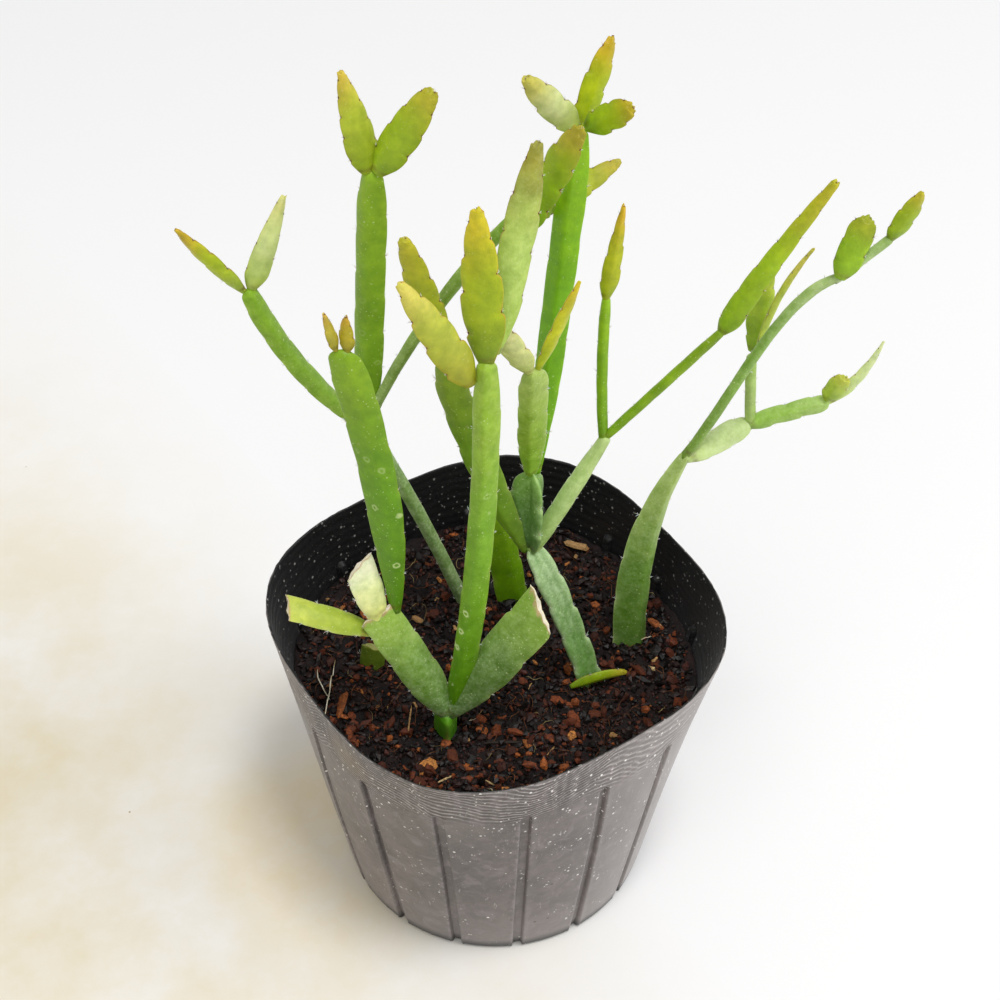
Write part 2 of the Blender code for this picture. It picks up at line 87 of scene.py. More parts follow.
# How far the crest of the lip lies from the groove's middle line
LIP_LINE = 1.4
GROOVE_TOP = 59.6
# How far round the wall each column of vertices stands from the middle of a groove
COLUMNS = (0.0, 0.5, 0.8, 0.95, 1.1, 1.25, 1.45, 1.8, 2.8, 5.0)
RIPPLE_SPACING = 1.15
RIPPLE_HEIGHT = 0.06
RIPPLE_WANDER = 9.0
INNER_RIPPLE_SPACING = 1.9
INNER_RIPPLE_HEIGHT = 0.045
# From one row of vertices to the next where the ripples are
OUTER_ROW = 0.22
INNER_ROW = 0.36
DRAIN_HOLES = 6
DRAIN_HOLE_RADIUS = 4.0
DRAIN_RING_RADIUS = 20.0
SOIL_TOP = 56.0
# How far below the soil the ripples begin
UNDER_SOIL = 4


def linear(channel):
    return channel / 12.92 if channel <= 0.04045 else ((channel + 0.055) / 1.055) ** 2.4


def paint(code):
    """A linear colour from an sRGB hex value."""
    return [linear(int(code[i:i + 2], 16) / 255) for i in (0, 2, 4)] + [1.0]


def smooth(part):
    part = min(1.0, max(0.0, part))
    return part * part * (3 - 2 * part)


def cone(height):
    return BASE_RADIUS + (RIM_RADIUS - BASE_RADIUS) * height / POT_HEIGHT


def on_wall(angle, height=0.0, stretch=60):
    """A place on a drum a unit in radius, for noise that runs on round the pot."""
    return Vector((math.cos(angle), math.sin(angle), height / stretch))


def wall_share(radius, most):
    """1 at the wall and next to nothing away from it, so that the floor and the middle keep their form."""
    return min(1.0, radius / most) ** 8


def from_groove(angle, height):
    """How far round the wall the nearest groove's middle line is, to its left if negative, and how far in all."""
    sector = 2 * math.pi / GROOVES
    aside = ((angle - GROOVE_TURN + sector / 2) % sector - sector / 2) * cone(height)
    return aside, math.hypot(aside, max(0.0, height - (GROOVE_TOP - GROOVE_HALF_WIDTH)))


def pot_relief(angle, height):
    """How far the wall stands out from a plain cone: soft corners at the rim, less the pressed grooves."""
    corners = CORNER_SWELL * (max(0.0, height) / POT_HEIGHT) ** CORNER_FADE * math.cos(4 * (angle - CORNER_TURN))
    aside, off_line = from_groove(angle, height)
    lip = GROOVE_LIP * math.exp(-(((off_line - LIP_LINE) / 0.22) ** 2))
    return corners + lip - GROOVE_DEPTH * smooth((GROOVE_HALF_WIDTH - off_line) / GROOVE_SLOPE)


def ripple_count(angle, height):
    """How many outer ripples lie below this place. They drift up and down round the pot, as wood grain does."""
    place = on_wall(angle, height)
    drift = RIPPLE_WANDER * noise.noise(place * 1.6 + Vector((3, 1, 0))) + 3.2 * noise.noise(place * 3.7)
    drift += 1.1 * noise.noise(place * 9) + 0.3 * noise.noise(place * 24)
    return (height + drift) / RIPPLE_SPACING


def ripple_fade(angle, height):
    """How strong the outer ripples are: they die away just below the tops of the grooves."""
    return smooth((height - GROOVE_TOP + 3.5 + 3 * noise.noise(on_wall(angle, height) * 4)) / 4)


def lip_wear_and_highlight(angle, height):
    """How much a groove's lip is made pale, partly rubbed and partly painted highlight: most on its left."""
    aside, off_line = from_groove(angle, height)
    return math.exp(-(((off_line - LIP_LINE) / 0.3) ** 2)) * (1.0 if aside < 0 else 0.2)


def inner_ripple_count(angle, height):
    place = on_wall(angle, height, 80)
    drift = 3.0 * noise.noise(place * 2.2) + 0.5 * noise.noise(place * 9)
    return (height + drift) / INNER_RIPPLE_SPACING


def ripples(angle, height, outer):
    """The count of the ripples of the outer or the inner skin here, and how strong they are."""
    if outer:
        return ripple_count(angle, height), ripple_fade(angle, height)
    return inner_ripple_count(angle, height), 1.0


def is_outside(x, y, height):
    """1 on the outer skin of the wall and under the base, 0 on the rim's top and the inner skin."""
    bare = math.hypot(x, y) - pot_relief(math.atan2(y, x), height)
    return smooth((bare - cone(height) + RIM_ROUNDING) / 0.08) if height > 0.3 else 1.0


def mesh_object(name, bm):
    mesh = bpy.data.meshes.new(name)
    bm.to_mesh(mesh)
    bm.free()
    thing = bpy.data.objects.new(name, mesh)
    bpy.context.scene.collection.objects.link(thing)
    return thing


def spun(profile, steps):
    """A bmesh of a (radius, height) profile turned once round, its poles and seam closed."""
    bm = bmesh.new()
    corners = [bm.verts.new((radius, 0, height)) for radius, height in profile]
    edges = [bm.edges.new(pair) for pair in zip(corners, corners[1:])]
    bmesh.ops.spin(bm, geom=corners + edges, cent=(0, 0, 0), axis=(0, 0, 1), angle=2 * math.pi, steps=steps,
                   use_merge=True)
    bmesh.ops.rotate(bm, verts=bm.verts, matrix=Matrix.Rotation(GROOVE_TURN, 3, "Z"))
    bmesh.ops.remove_doubles(bm, verts=bm.verts, dist=0.01)
    bmesh.ops.recalc_face_normals(bm, faces=bm.faces)
    return bm


def spread(low, high, step):
    """Even heights from low to high, about a step apart."""
    count = max(1, round((high - low) / step))
    return [low + (high - low) * i / count for i in range(count + 1)]


def pot_profile():
    """The section of the film: up the outside, over the rim, down the inside and across the floor."""
    outer = [(0, 0), (DRAIN_RING_RADIUS, 0), (BASE_RADIUS - BASE_BEVEL, 0)]
    for i in range(1, 5):
        turn = math.pi / 2 * i / 4
        outer.append((BASE_RADIUS - BASE_BEVEL * (1 - math.sin(turn)), BASE_BEVEL * (1 - math.cos(turn))))
    heights = spread(4, GROOVE_TOP - 6, 5) + spread(GROOVE_TOP - 5, POT_HEIGHT - 0.15, OUTER_ROW)
    outer += [(cone(height), height) for height in heights]
    rim = [(cone(POT_HEIGHT) - RIM_ROUNDING, POT_HEIGHT), (cone(POT_HEIGHT) - RIM_FILM + 0.1, POT_HEIGHT)]
    inner = []
    for height in reversed(spread(SOIL_TOP - 3, POT_HEIGHT - 0.15, INNER_ROW)):
        film = FILM + (RIM_FILM - FILM) * smooth((height - SOIL_TOP) / 8)
        inner.append((cone(height) - film, height))
    inner += [(cone(height) - FILM, height) for height in (40, 20, FILM + BASE_BEVEL)]
    return outer + rim + inner + [(BASE_RADIUS - BASE_BEVEL - FILM, FILM), (DRAIN_RING_RADIUS, FILM), (0, FILM)]


def blown_film():
    """The spun film, its columns drawn in to the grooves, with its corners, grooves and ripples pressed in."""
    bm = spun(pot_profile(), GROOVES * 2 * len(COLUMNS))
    sector = 2 * math.pi / GROOVES
    for v in bm.verts:
        radius, height, angle = math.hypot(v.co.x, v.co.y), v.co.z, math.atan2(v.co.y, v.co.x)
        nearest = round((angle - GROOVE_TURN) / sector) * sector + GROOVE_TURN
        column = round(abs(angle - nearest) / sector * 2 * len(COLUMNS))
        if column < len(COLUMNS):
            angle = nearest + math.copysign(COLUMNS[column] / cone(height), angle - nearest)
        outer = radius > cone(height) - 0.2
        radius += pot_relief(angle, height) * wall_share(radius, cone(height) - FILM - BASE_BEVEL)
        if height > SOIL_TOP - UNDER_SOIL:
            count, strength = ripples(angle, height, outer)
            deep = RIPPLE_HEIGHT if outer else INNER_RIPPLE_HEIGHT
            radius += deep * math.sin(2 * math.pi * count) * strength
        # The rim was trimmed by hand, and is not quite level.
        if height > POT_HEIGHT - 0.2:
            height -= 0.18 * (0.5 + noise.noise(on_wall(angle) * 25))
        v.co = Vector((radius * math.cos(angle), radius * math.sin(angle), height)) * MM
    return bm


def drain_cutter():
    """Six plugs, to be cut out of the base."""
    bm = bmesh.new()
    for i in range(DRAIN_HOLES):
        angle = 2 * math.pi * i / DRAIN_HOLES
        place = Vector((math.cos(angle), math.sin(angle), 0)) * DRAIN_RING_RADIUS * MM
        bmesh.ops.create_cone(bm, cap_ends=True, segments=32, radius1=DRAIN_HOLE_RADIUS * MM,
                              radius2=DRAIN_HOLE_RADIUS * MM, depth=4 * MM, matrix=Matrix.Translation(place))
    return bm


def store(thing, name, values):
    """Keeps one number for each vertex, as an attribute that the materials read."""
    thing.data.attributes.new(name, "FLOAT", "POINT").data.foreach_set("value", values)


def add(material, kind, inputs=(), output=0, **settings):
    """Adds a shader node with its settings and links, and returns one of its outputs."""
    made = material.node_tree.nodes.new("ShaderNode" + kind)
    for name, value in settings.items():
        setattr(made, name, value)
    for socket, value in dict(inputs).items():
        if isinstance(value, bpy.types.NodeSocket):
            material.node_tree.links.new(value, made.inputs[socket])
        else:
            made.inputs[socket].default_value = value
    return made.outputs[output] if kind != "OutputMaterial" else None


def bare_material(name):
    """An empty material and its object coordinates."""
    material = bpy.data.materials.new(name)
    material.use_nodes = True
    material.node_tree.nodes.clear()
    return material, add(material, "TexCoord", output="Object")


def dots(material, where, spacing, radius, drift):
    """Round dots of a radius, about a spacing apart, as strong as drift lets them be."""
    cells = add(material, "TexVoronoi", {"Vector": where, "Scale": 1 / (spacing * MM)}, "Distance")
    rim, heart = radius / spacing, 0.6 * radius / spacing
    near = add(material, "MapRange", {"Value": cells, "From Min": rim, "From Max": heart})
    return add(material, "Math", {0: near, 1: drift}, operation="MULTIPLY")


def polyethylene_film():
    """Black polyethylene film, blow-moulded. The film itself is a satin black, and its bloom of lime and dust
    gives a warm, cloudy grey that turns pale where it is seen edge-on. The grey is made lighter still as a painted
    reflection of the white room. Scratches, white specks and pits mark it.
    """
    film, where = bare_material("black_polyethylene_film")
    outside = add(film, "Attribute", output="Fac", attribute_name="outside")
    # From -1 in the hollow of a ripple to 1 on its crest
    count = add(film, "Attribute", output="Fac", attribute_name="ripple_count")
    fade = add(film, "Attribute", output="Fac", attribute_name="ripple_fade")
    crest = add(film, "Math", {0: count, 1: 2 * math.pi}, operation="MULTIPLY")
    crest = add(film, "Math", {0: crest}, operation="SINE")
    crest = add(film, "Math", {0: crest, 1: fade}, operation="MULTIPLY")
    aside = add(film, "SeparateXYZ", {"Vector": where}, "X")
    high = add(film, "SeparateXYZ", {"Vector": where}, "Z")
    cloud = add(film, "TexNoise", {"Vector": where, "Scale": 1 / (14 * MM), "Detail": 7, "Roughness": 0.65}, "Fac")
    fine = add(film, "TexNoise", {"Vector": where, "Scale": 1 / (1.3 * MM), "Detail": 5, "Roughness": 0.7}, "Fac")
    patches = add(film, "MapRange", {"Value": cloud, "From Min": 0.3, "From Max": 0.72})
    # The outer grey: lime and dust bloom, lightened as a painted reflection of the bright room.
    haze_and_reflection = add(film, "Mix", {0: patches, 6: paint("443D3B"), 7: paint("766C69")}, 2, data_type="RGBA")
    grit = add(film, "MapRange", {"Value": fine, "From Min": 0.45, "From Max": 0.8, "To Max": 0.45})
    # Smudges and wiped patches, some pale and some dark
    smudge = add(film, "TexNoise", {"Vector": where, "Scale": 1 / (4.5 * MM), "Detail": 6, "Roughness": 0.6,
                                    "Distortion": 1.2}, "Fac")
    pale = add(film, "MapRange", {"Value": smudge, "From Min": 0.52, "From Max": 0.7, "To Max": 0.4})
    dark = add(film, "MapRange", {"Value": smudge, "From Min": 0.46, "From Max": 0.3, "To Max": 0.45})
    # Lime has settled in broken lines on the crests of the ripples, which are also lighter as painted highlight,
    # and their hollows are darker as painted shade.
    broken = add(film, "MapRange", {"Value": fine, "From Min": 0.38, "From Max": 0.62, "To Min": 0.06,
                                    "To Max": 0.85})
    crest_lime_and_highlight = add(film, "MapRange", {"Value": crest, "From Min": 0.55, "From Max": 1.0})
    crest_lime_and_highlight = add(film, "Math", {0: crest_lime_and_highlight, 1: broken}, operation="MULTIPLY")
    hollow_shade = add(film, "MapRange", {"Value": crest, "From Min": 0.3, "From Max": -0.8, "To Max": 0.7})
    # The right-hand side is paler as painted light from the right, and dust has been splashed on the foot.
    right = add(film, "MapRange", {"Value": aside, "From Min": 0.014, "From Max": 0.042, "To Max": 0.55})
    foot = add(film, "MapRange", {"Value": high, "From Min": 0.024, "From Max": 0.004, "To Max": 0.3})
    # The lips of the grooves are rubbed, and painted paler on their left as painted highlight, and dust lies along
    # the rim.
    lip = add(film, "Attribute", output="Fac", attribute_name="lip_wear_and_highlight")
    lip = add(film, "Math", {0: lip, 1: grit}, operation="MULTIPLY")
    rim = add(film, "MapRange", {"Value": high, "From Min": 0.0711, "From Max": 0.0719, "To Max": 0.6})
    rim = add(film, "Math", {0: rim, 1: broken}, operation="MULTIPLY")
    # Of these shares, the right side's is painted light, the crests' and the lips' are partly painted highlight,
    # and the hollows' is painted shade.
    for share, code in ((grit, "958A87"), (pale, "A0969A"), (dark, "3E3635"), (hollow_shade, "433B3A"),
                        (crest_lime_and_highlight, "C4BDBA"), (right, "B0A8A5"), (foot, "A49A97"), (lip, "B8B0B6"),
                        (rim, "A8A09C")):
        haze_and_reflection = add(film, "Mix", {0: share, 6: haze_and_reflection, 7: paint(code)}, 2, data_type="RGBA")
    # Inside, the ripple crests are painted a little lighter and their hollows darker, as painted highlight and
    # shade.
    bare = add(film, "MapRange", {"Value": crest, "From Min": -1.0, "From Max": 1.0})
    black = add(film, "Mix", {0: bare, 6: paint("080809"), 7: paint("131314")}, 2, data_type="RGBA")
    colour = add(film, "Mix", {0: outside, 6: black, 7: haze_and_reflection}, 2, data_type="RGBA")
    # Scratches run down the wall: noise drawn out eight times as long as it is wide.
    drawn = add(film, "Mapping", {"Vector": where, "Scale": (1, 1, 0.12), "Rotation": (0.5, 0.35, 0.2)})
    scratch = add(film, "TexNoise", {"Vector": drawn, "Scale": 1 / (0.7 * MM), "Detail": 2}, "Fac")
    scratch = add(film, "MapRange", {"Value": scratch, "From Min": 0.68, "From Max": 0.75, "To Max": 0.5})
    scratch = add(film, "Math", {0: scratch, 1: outside}, operation="MULTIPLY")
    colour = add(film, "Mix", {0: scratch, 6: colour, 7: paint("B4ADAB")}, 2, data_type="RGBA")
    # Specks of lime and perlite dust, thickest near the rim, and a few dark pits.
    upper = add(film, "MapRange", {"Value": high, "From Min": 0.035, "From Max": 0.064, "To Min": 0.54,
                                   "To Max": 0.38})
    drift = add(film, "TexNoise", {"Vector": where, "Scale": 1 / (8 * MM), "Detail": 3}, "Fac")
    drift = add(film, "Math", {0: drift, 1: upper}, operation="SUBTRACT")
    drift = add(film, "MapRange", {"Value": drift, "From Min": 0.0, "From Max": 0.07})
    washed = add(film, "MapRange", {"Value": outside, "To Min": 0.3, "To Max": 1.0})
    drift = add(film, "Math", {0: drift, 1: washed}, operation="MULTIPLY")
    # How far apart the specks are, their radius, how strong they are and their colour
    for spacing, radius, strength, code in ((2.4, 0.34, 0.95, "F4F1EC"), (1.4, 0.22, 0.9, "E4E0DA"),
                                            (0.6, 0.09, 0.6, "C0BBB7")):
        speck = dots(film, where, spacing, radius, drift)
        speck = add(film, "Math", {0: speck, 1: strength}, operation="MULTIPLY")
        colour = add(film, "Mix", {0: speck, 6: colour, 7: paint(code)}, 2, data_type="RGBA")
    worn = add(film, "MapRange", {"Value": cloud, "From Min": 0.5, "From Max": 0.62, "To Max": 0.8})
    pits = dots(film, where, 4.6, 0.4, worn)
    # Muddy water has dried below the rim at the front left.
    mud = add(film, "VectorMath", {0: where, 1: Vector((-29, -33, 64)) * MM}, "Value", operation="DISTANCE")
    mud = add(film, "MapRange", {"Value": mud, "From Min": 0.0075, "From Max": 0.002, "To Max": 0.75})
    mud = add(film, "Math", {0: mud, 1: fine}, operation="MULTIPLY")
    for share, code in ((pits, "1C1919"), (mud, "8A7650")):
        colour = add(film, "Mix", {0: share, 6: colour, 7: paint(code)}, 2, data_type="RGBA")
    sheen = add(film, "MapRange", {"Value": fine, "From Min": 0.3, "From Max": 0.8, "To Min": 0.34,
                                   "To Max": 0.52})
    relief = add(film, "Math", {0: fine, 1: scratch}, operation="ADD")
    bump = add(film, "Bump", {"Height": relief, "Strength": 0.3, "Distance": 0.0001})
    shader = add(film, "BsdfPrincipled", {"Base Color": colour, "Roughness": sheen, "IOR": 1.5, "Normal": bump,
                                          "Sheen Weight": 0.12, "Sheen Roughness": 0.4})
    add(film, "OutputMaterial", {"Surface": shader})
    return film


def dress(thing, material, slot, *nodes):
    """Finishes a piece: smooth faces, its material, and its place on the root body."""
    thing.data.materials.clear()
    thing.data.materials.append(material)
    thing.data.shade_smooth()
    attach(thing, "root")
    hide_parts(*nodes)


pot = mesh_object("nursery_pot", blown_film())
cutter = mesh_object("drain_cutter", drain_cutter())
drain = pot.modifiers.new("Drain", "BOOLEAN")
drain.operation, drain.solver, drain.object = "DIFFERENCE", "EXACT", cutter
drained = bpy.data.meshes.new_from_object(pot.evaluated_get(bpy.context.evaluated_depsgraph_get()))
pot.modifiers.clear()
pot.data = drained
bpy.data.objects.remove(cutter)
spots = [v.co / MM for v in pot.data.vertices]
outsides = [is_outside(*spot) for spot in spots]
turns = [math.atan2(spot.y, spot.x) for spot in spots]
store(pot, "outside", outsides)
store(pot, "lip_wear_and_highlight", [lip_wear_and_highlight(turn, spot.z) for turn, spot in zip(turns, spots)])
rippled = [ripples(turn, spot.z, outside > 0.5) for turn, spot, outside in zip(turns, spots, outsides)]
store(pot, "ripple_count", [count for count, strength in rippled])
store(pot, "ripple_fade", [strength for count, strength in rippled])
dress(pot, polyethylene_film(), "black_polyethylene", "pot")
pot.data.set_sharp_from_angle(angle=math.radians(60))

# The growing mix: coir dust and peat, watered down to about 16 mm below the rim. It is damp and nearly black,
# and lies in loose lumps.
SOIL_GAP = 0.3
SOIL_FLOOR = 1.6
SOIL_FOOT_INSET = 3.5
SOIL_SHOULDER = 2.5
SOIL_STEPS = 240
SOIL_RINGS = 80
random.seed(7)


def soil_height(x, y):
    """The lumpy surface, in millimetres."""
    place = Vector((x, y, 3.1))
    lumps = 1.4 * noise.noise(place / 6) + 1.0 * noise.noise(place / 2.6) + 0.7 * noise.noise(place / 1.1)
    return SOIL_TOP + lumps + 0.3 * noise.noise(place / 0.55)


def soil_bed():
    """The mix as a body that follows the film's corners and grooves, with its surface in lumps."""
    edge = cone(SOIL_TOP) - FILM - SOIL_GAP
    profile = [(0, SOIL_FLOOR), (BASE_RADIUS - SOIL_FOOT_INSET, SOIL_FLOOR), (cone(30) - FILM - SOIL_GAP, 30),
               (edge, SOIL_TOP - SOIL_SHOULDER)]
    profile += [(edge * i / SOIL_RINGS, SOIL_TOP) for i in range(SOIL_RINGS, -1, -1)]
    bm = spun(profile, SOIL_STEPS)
    for v in bm.verts:
        angle, radius = math.atan2(v.co.y, v.co.x), math.hypot(v.co.x, v.co.y)
        near_wall = wall_share(radius, cone(v.co.z) - FILM - SOIL_GAP)
        radius += near_wall * (pot_relief(angle, v.co.z) - GROOVE_LIP)
        height = soil_height(v.co.x, v.co.y) if v.co.z > SOIL_TOP - 1 else v.co.z
        v.co = Vector((radius * math.cos(angle), radius * math.sin(angle), height)) * MM
    return bm


def damp_peat():
    """Damp peat and coir dust. It drinks the light: near black in the hollows, brown on the crests, with a few
    wet grains that glint.
    """
    peat, where = bare_material("damp_peat_and_coir_dust")
    patches = add(peat, "TexNoise", {"Vector": where, "Scale": 1 / (3.5 * MM), "Detail": 8, "Roughness": 0.7},
                  "Fac")
    crumb = add(peat, "TexNoise", {"Vector": where, "Scale": 1 / (0.6 * MM), "Detail": 6, "Roughness": 0.7}, "Fac")
    dry = add(peat, "MapRange", {"Value": patches, "From Min": 0.4, "From Max": 0.75})
    colour = add(peat, "Mix", {0: dry, 6: paint("090506"), 7: paint("2A1614")}, 2, data_type="RGBA")
    speck = add(peat, "MapRange", {"Value": crumb, "From Min": 0.55, "From Max": 0.75, "To Max": 0.5})
    colour = add(peat, "Mix", {0: speck, 6: colour, 7: paint("4A2A20")}, 2, data_type="RGBA")
    rough = add(peat, "MapRange", {"Value": crumb, "From Min": 0.3, "From Max": 0.7, "To Min": 0.45,
                                   "To Max": 0.95})
    bump = add(peat, "Bump", {"Height": crumb, "Strength": 0.9, "Distance": 0.0005})
    shader = add(peat, "BsdfPrincipled", {"Base Color": colour, "Roughness": rough, "IOR": 1.4, "Normal": bump})
    add(peat, "OutputMaterial", {"Surface": shader})
    return peat


soil = mesh_object("soil_bed", soil_bed())
dress(soil, damp_peat(), "coir_and_peat", "soil")

# Loose crumbs on the mix: black peat that clings in lumps, dull red-brown coir pith all over, and brighter
# granules of it that lie in drifts, most of them at the front, thinning at the back partly as painted shade.
# Some are pressed up round each stem.
PEAT_CRUMBS = 4200
DULL_GRANULES = 2000
BRIGHT_GRANULES = 1100
CRUMBS_ROUND_STEM = 70
# Where each cutting is planted, and how wide it is there
FEET = {"front": (-9.8, -19.4, 5.0), "centre": (18.2, -4.9, 6.0), "left": (-7.0, 15.6, 3.0),
        "right": (30.1, 4.8, 7.0), "back": (4.0, 17.3, 6.6), "stub": (-25.5, -1.7, 5.0)}


def repeated(bm, copies):
    """Doubles the mesh until it holds enough copies, drops the spare ones and returns each copy's vertices."""
    groups = [bm.verts[:]]
    while len(groups) < copies:
        twin = bmesh.ops.duplicate(bm, geom=bm.verts[:] + bm.edges[:] + bm.faces[:])["vert_map"]
        groups += [[twin[v] for v in verts] for verts in groups]
    bmesh.ops.delete(bm, geom=[v for verts in groups[copies:] for v in verts], context="VERTS")
    return groups[:copies]


def soil_edge(angle, inset):
    """How far out the soil reaches, less an inset."""
    return cone(SOIL_TOP) - FILM - SOIL_GAP - inset + min(1.0, pot_relief(angle, SOIL_TOP))


def spot_on_soil(inset=0.8):
    """A random place on the soil, even over its area and inside the wall."""
    angle = random.uniform(-math.pi, math.pi)
    radius = soil_edge(angle, inset) * math.sqrt(random.random())
    return radius * math.cos(angle), radius * math.sin(angle)


def any_turn():
    axis = Vector((random.gauss(0, 1), random.gauss(0, 1), random.gauss(0, 1))).normalized()
    return Matrix.Rotation(random.uniform(0, 2 * math.pi), 3, axis)


def crumb_spots(count, patchy):
    """Places for crumbs. Patchy ones lie in drifts, most of them towards the front, thinning at the back partly as
    painted shade.
    """
    while count:
        x, y = spot_on_soil(1.4)
        # The drifts thin out towards the back, partly as painted shade.
        drift = noise.noise(Vector((x, y, 0)) / 7) * 1.6 - y / 45
        if drift > random.uniform(-0.9, 0.9) or not patchy:
            yield x, y
            count -= 1


def spots_round_stems():
    for x, y, width in FEET.values():
        for _ in range(CRUMBS_ROUND_STEM):
            turn, out = random.uniform(0, 2 * math.pi), width * random.uniform(0.3, 0.85)
            yield x + 1.1 * out * math.cos(turn), y + 0.8 * out * math.sin(turn)


def crumbs(spots, least, most, lift):
    """Irregular crumbs, each a ball pushed out of shape, half sunk in the surface or lying on others."""
    bm = bmesh.new()
    bmesh.ops.create_icosphere(bm, subdivisions=1, radius=1)
    shades = []
    for verts, (x, y) in zip(repeated(bm, len(spots)), spots):
        size = least * (most / least) ** (random.random() ** 1.8)
        squash = Matrix.Diagonal((random.uniform(0.7, 1.5), random.uniform(0.6, 1.0), random.uniform(0.5, 0.9)))
        turn = any_turn() @ squash
        centre = Vector((x, y, soil_height(x, y) + random.uniform(-0.1, lift)))
        for v in verts:
            v.co = (centre + turn @ v.co * size * random.uniform(0.7, 1.3)) * MM
        shades += [random.random()] * len(verts)
    return bm, shades


def broken_bits(name, dark, middle, bright, roughness):
    """Broken bits of pith, peat or bark. Each has its own shade, and a fine grain breaks up its faces."""
    bits, where = bare_material(name)
    shade = add(bits, "Attribute", output="Fac", attribute_name="shade")
    fine = add(bits, "TexNoise", {"Vector": where, "Scale": 1 / (0.5 * MM), "Detail": 5, "Roughness": 0.7}, "Fac")
    usual = add(bits, "MapRange", {"Value": shade, "From Min": 0.0, "From Max": 0.7})
    rare = add(bits, "MapRange", {"Value": shade, "From Min": 0.75, "From Max": 1.0})
    colour = add(bits, "Mix", {0: usual, 6: paint(dark), 7: paint(middle)}, 2, data_type="RGBA")
    colour = add(bits, "Mix", {0: rare, 6: colour, 7: paint(bright)}, 2, data_type="RGBA")
    grain = add(bits, "MapRange", {"Value": fine, "From Min": 0.35, "From Max": 0.65, "To Min": 0.85,
                                   "To Max": 0.0})
    colour = add(bits, "Mix", {0: grain, 6: colour, 7: paint(dark)}, 2, data_type="RGBA")
    bump = add(bits, "Bump", {"Height": fine, "Strength": 0.6, "Distance": 0.0002})
    shader = add(bits, "BsdfPrincipled", {"Base Color": colour, "Roughness": roughness, "IOR": 1.4,
                                          "Normal": bump})
    add(bits, "OutputMaterial", {"Surface": shader})
    return bits


# Each kind's places, its least and its greatest radius, how high it lies and its finish
for name, spots, least, most, lift, finish in (
        ("peat_crumbs", list(crumb_spots(PEAT_CRUMBS, False)) + list(spots_round_stems()), 0.3, 1.35, 0.6,
         broken_bits("peat_crumb", "080504", "1D110F", "3A201A", 0.45)),
        ("dull_coir_granules", list(crumb_spots(DULL_GRANULES, False)), 0.25, 1.0, 0.8,
         broken_bits("damp_coir_pith", "170A0A", "371B17", "623024", 0.55)),
        ("bright_coir_granules", list(crumb_spots(BRIGHT_GRANULES, True)), 0.25, 1.5, 1.0,
         broken_bits("dry_coir_pith", "34150B", "743516", "B8652A", 0.7))):
    bm, shades = crumbs(spots, least, most, lift)
    loose = mesh_object(name, bm)
    store(loose, "shade", shades)
    dress(loose, finish, "coir_and_peat")
    loose.data.shade_flat()

# Chips and splinters of composted pine bark and coconut husk lie on the mix: a few up to 7 mm long, where the
# photograph shows them, and many small bits between them. They are corky, matt and orange-brown.
CHIP_BITS = 170
SPLINTER_BITS = 24
# x, y, length, width, turn, tilt and shade of each large chip
LARGE_CHIPS = (
    (-31.0, -13.4, 6.7, 1.7, -101, 6, 0.8),
    (-28.9, -21.3, 5.6, 1.4, -79, 12, 0.55),
    (-13.4, -28.6, 4.4, 3.6, 35, -8, 1.0),
    (-8.5, -26.0, 3.0, 2.2, -89, 10, 0.2),
    (-5.1, -31.5, 1.8, 1.6, 10, 5, 0.5),
    (4.0, -20.6, 3.6, 1.3, -12, 6, 0.45),
    (6.6, -22.2, 3.2, 1.2, -52, 14, 0.85),
    (-2.8, -16.7, 2.4, 2.0, -8, 10, 0.6),
    (0.4, -20.0, 2.2, 1.7, 20, 4, 0.35),
    (15.3, -21.3, 2.9, 1.7, 60, 12, 1.0),
    (15.9, -16.1, 3.5, 1.8, -48, 10, 0.5),
    (5.8, -6.1, 2.0, 1.4, -10, 14, 0.4),
    (12.8, -11.4, 2.9, 1.6, -34, 8, 0.6),
    (20.0, -15.4, 2.6, 2.2, 10, 5, 0.2),
    (34.2, 9.7, 4.2, 1.5, -45, 10, 0.8),
)
# The same of the pale, dry ones: the last is a split husk at the back
PALE_CHIPS = (
    (-9.8, -31.6, 3.4, 0.4, 32, 4, 0.9),
    (-0.9, -31.7, 2.6, 0.4, -29, 4, 0.9),
    (-17.1, -17.1, 6.4, 0.3, -95, 10, 0.6),
    (11.0, -24.2, 3.6, 0.35, -129, 6, 0.4),
    (7.2, -7.8, 2.4, 0.35, 70, 12, 0.7),
    (-16.4, 10.2, 2.6, 1.2, -27, 6, 0.3),
    (35.2, 8.6, 1.8, 0.7, -70, 6, 0.9),
    (18.2, 33.1, 5.8, 2.0, -19, 4, 0.55),
)
GREY_TWIG = (1.4, -22.6, 8.0, 0.5, 5, 3, 0.0)


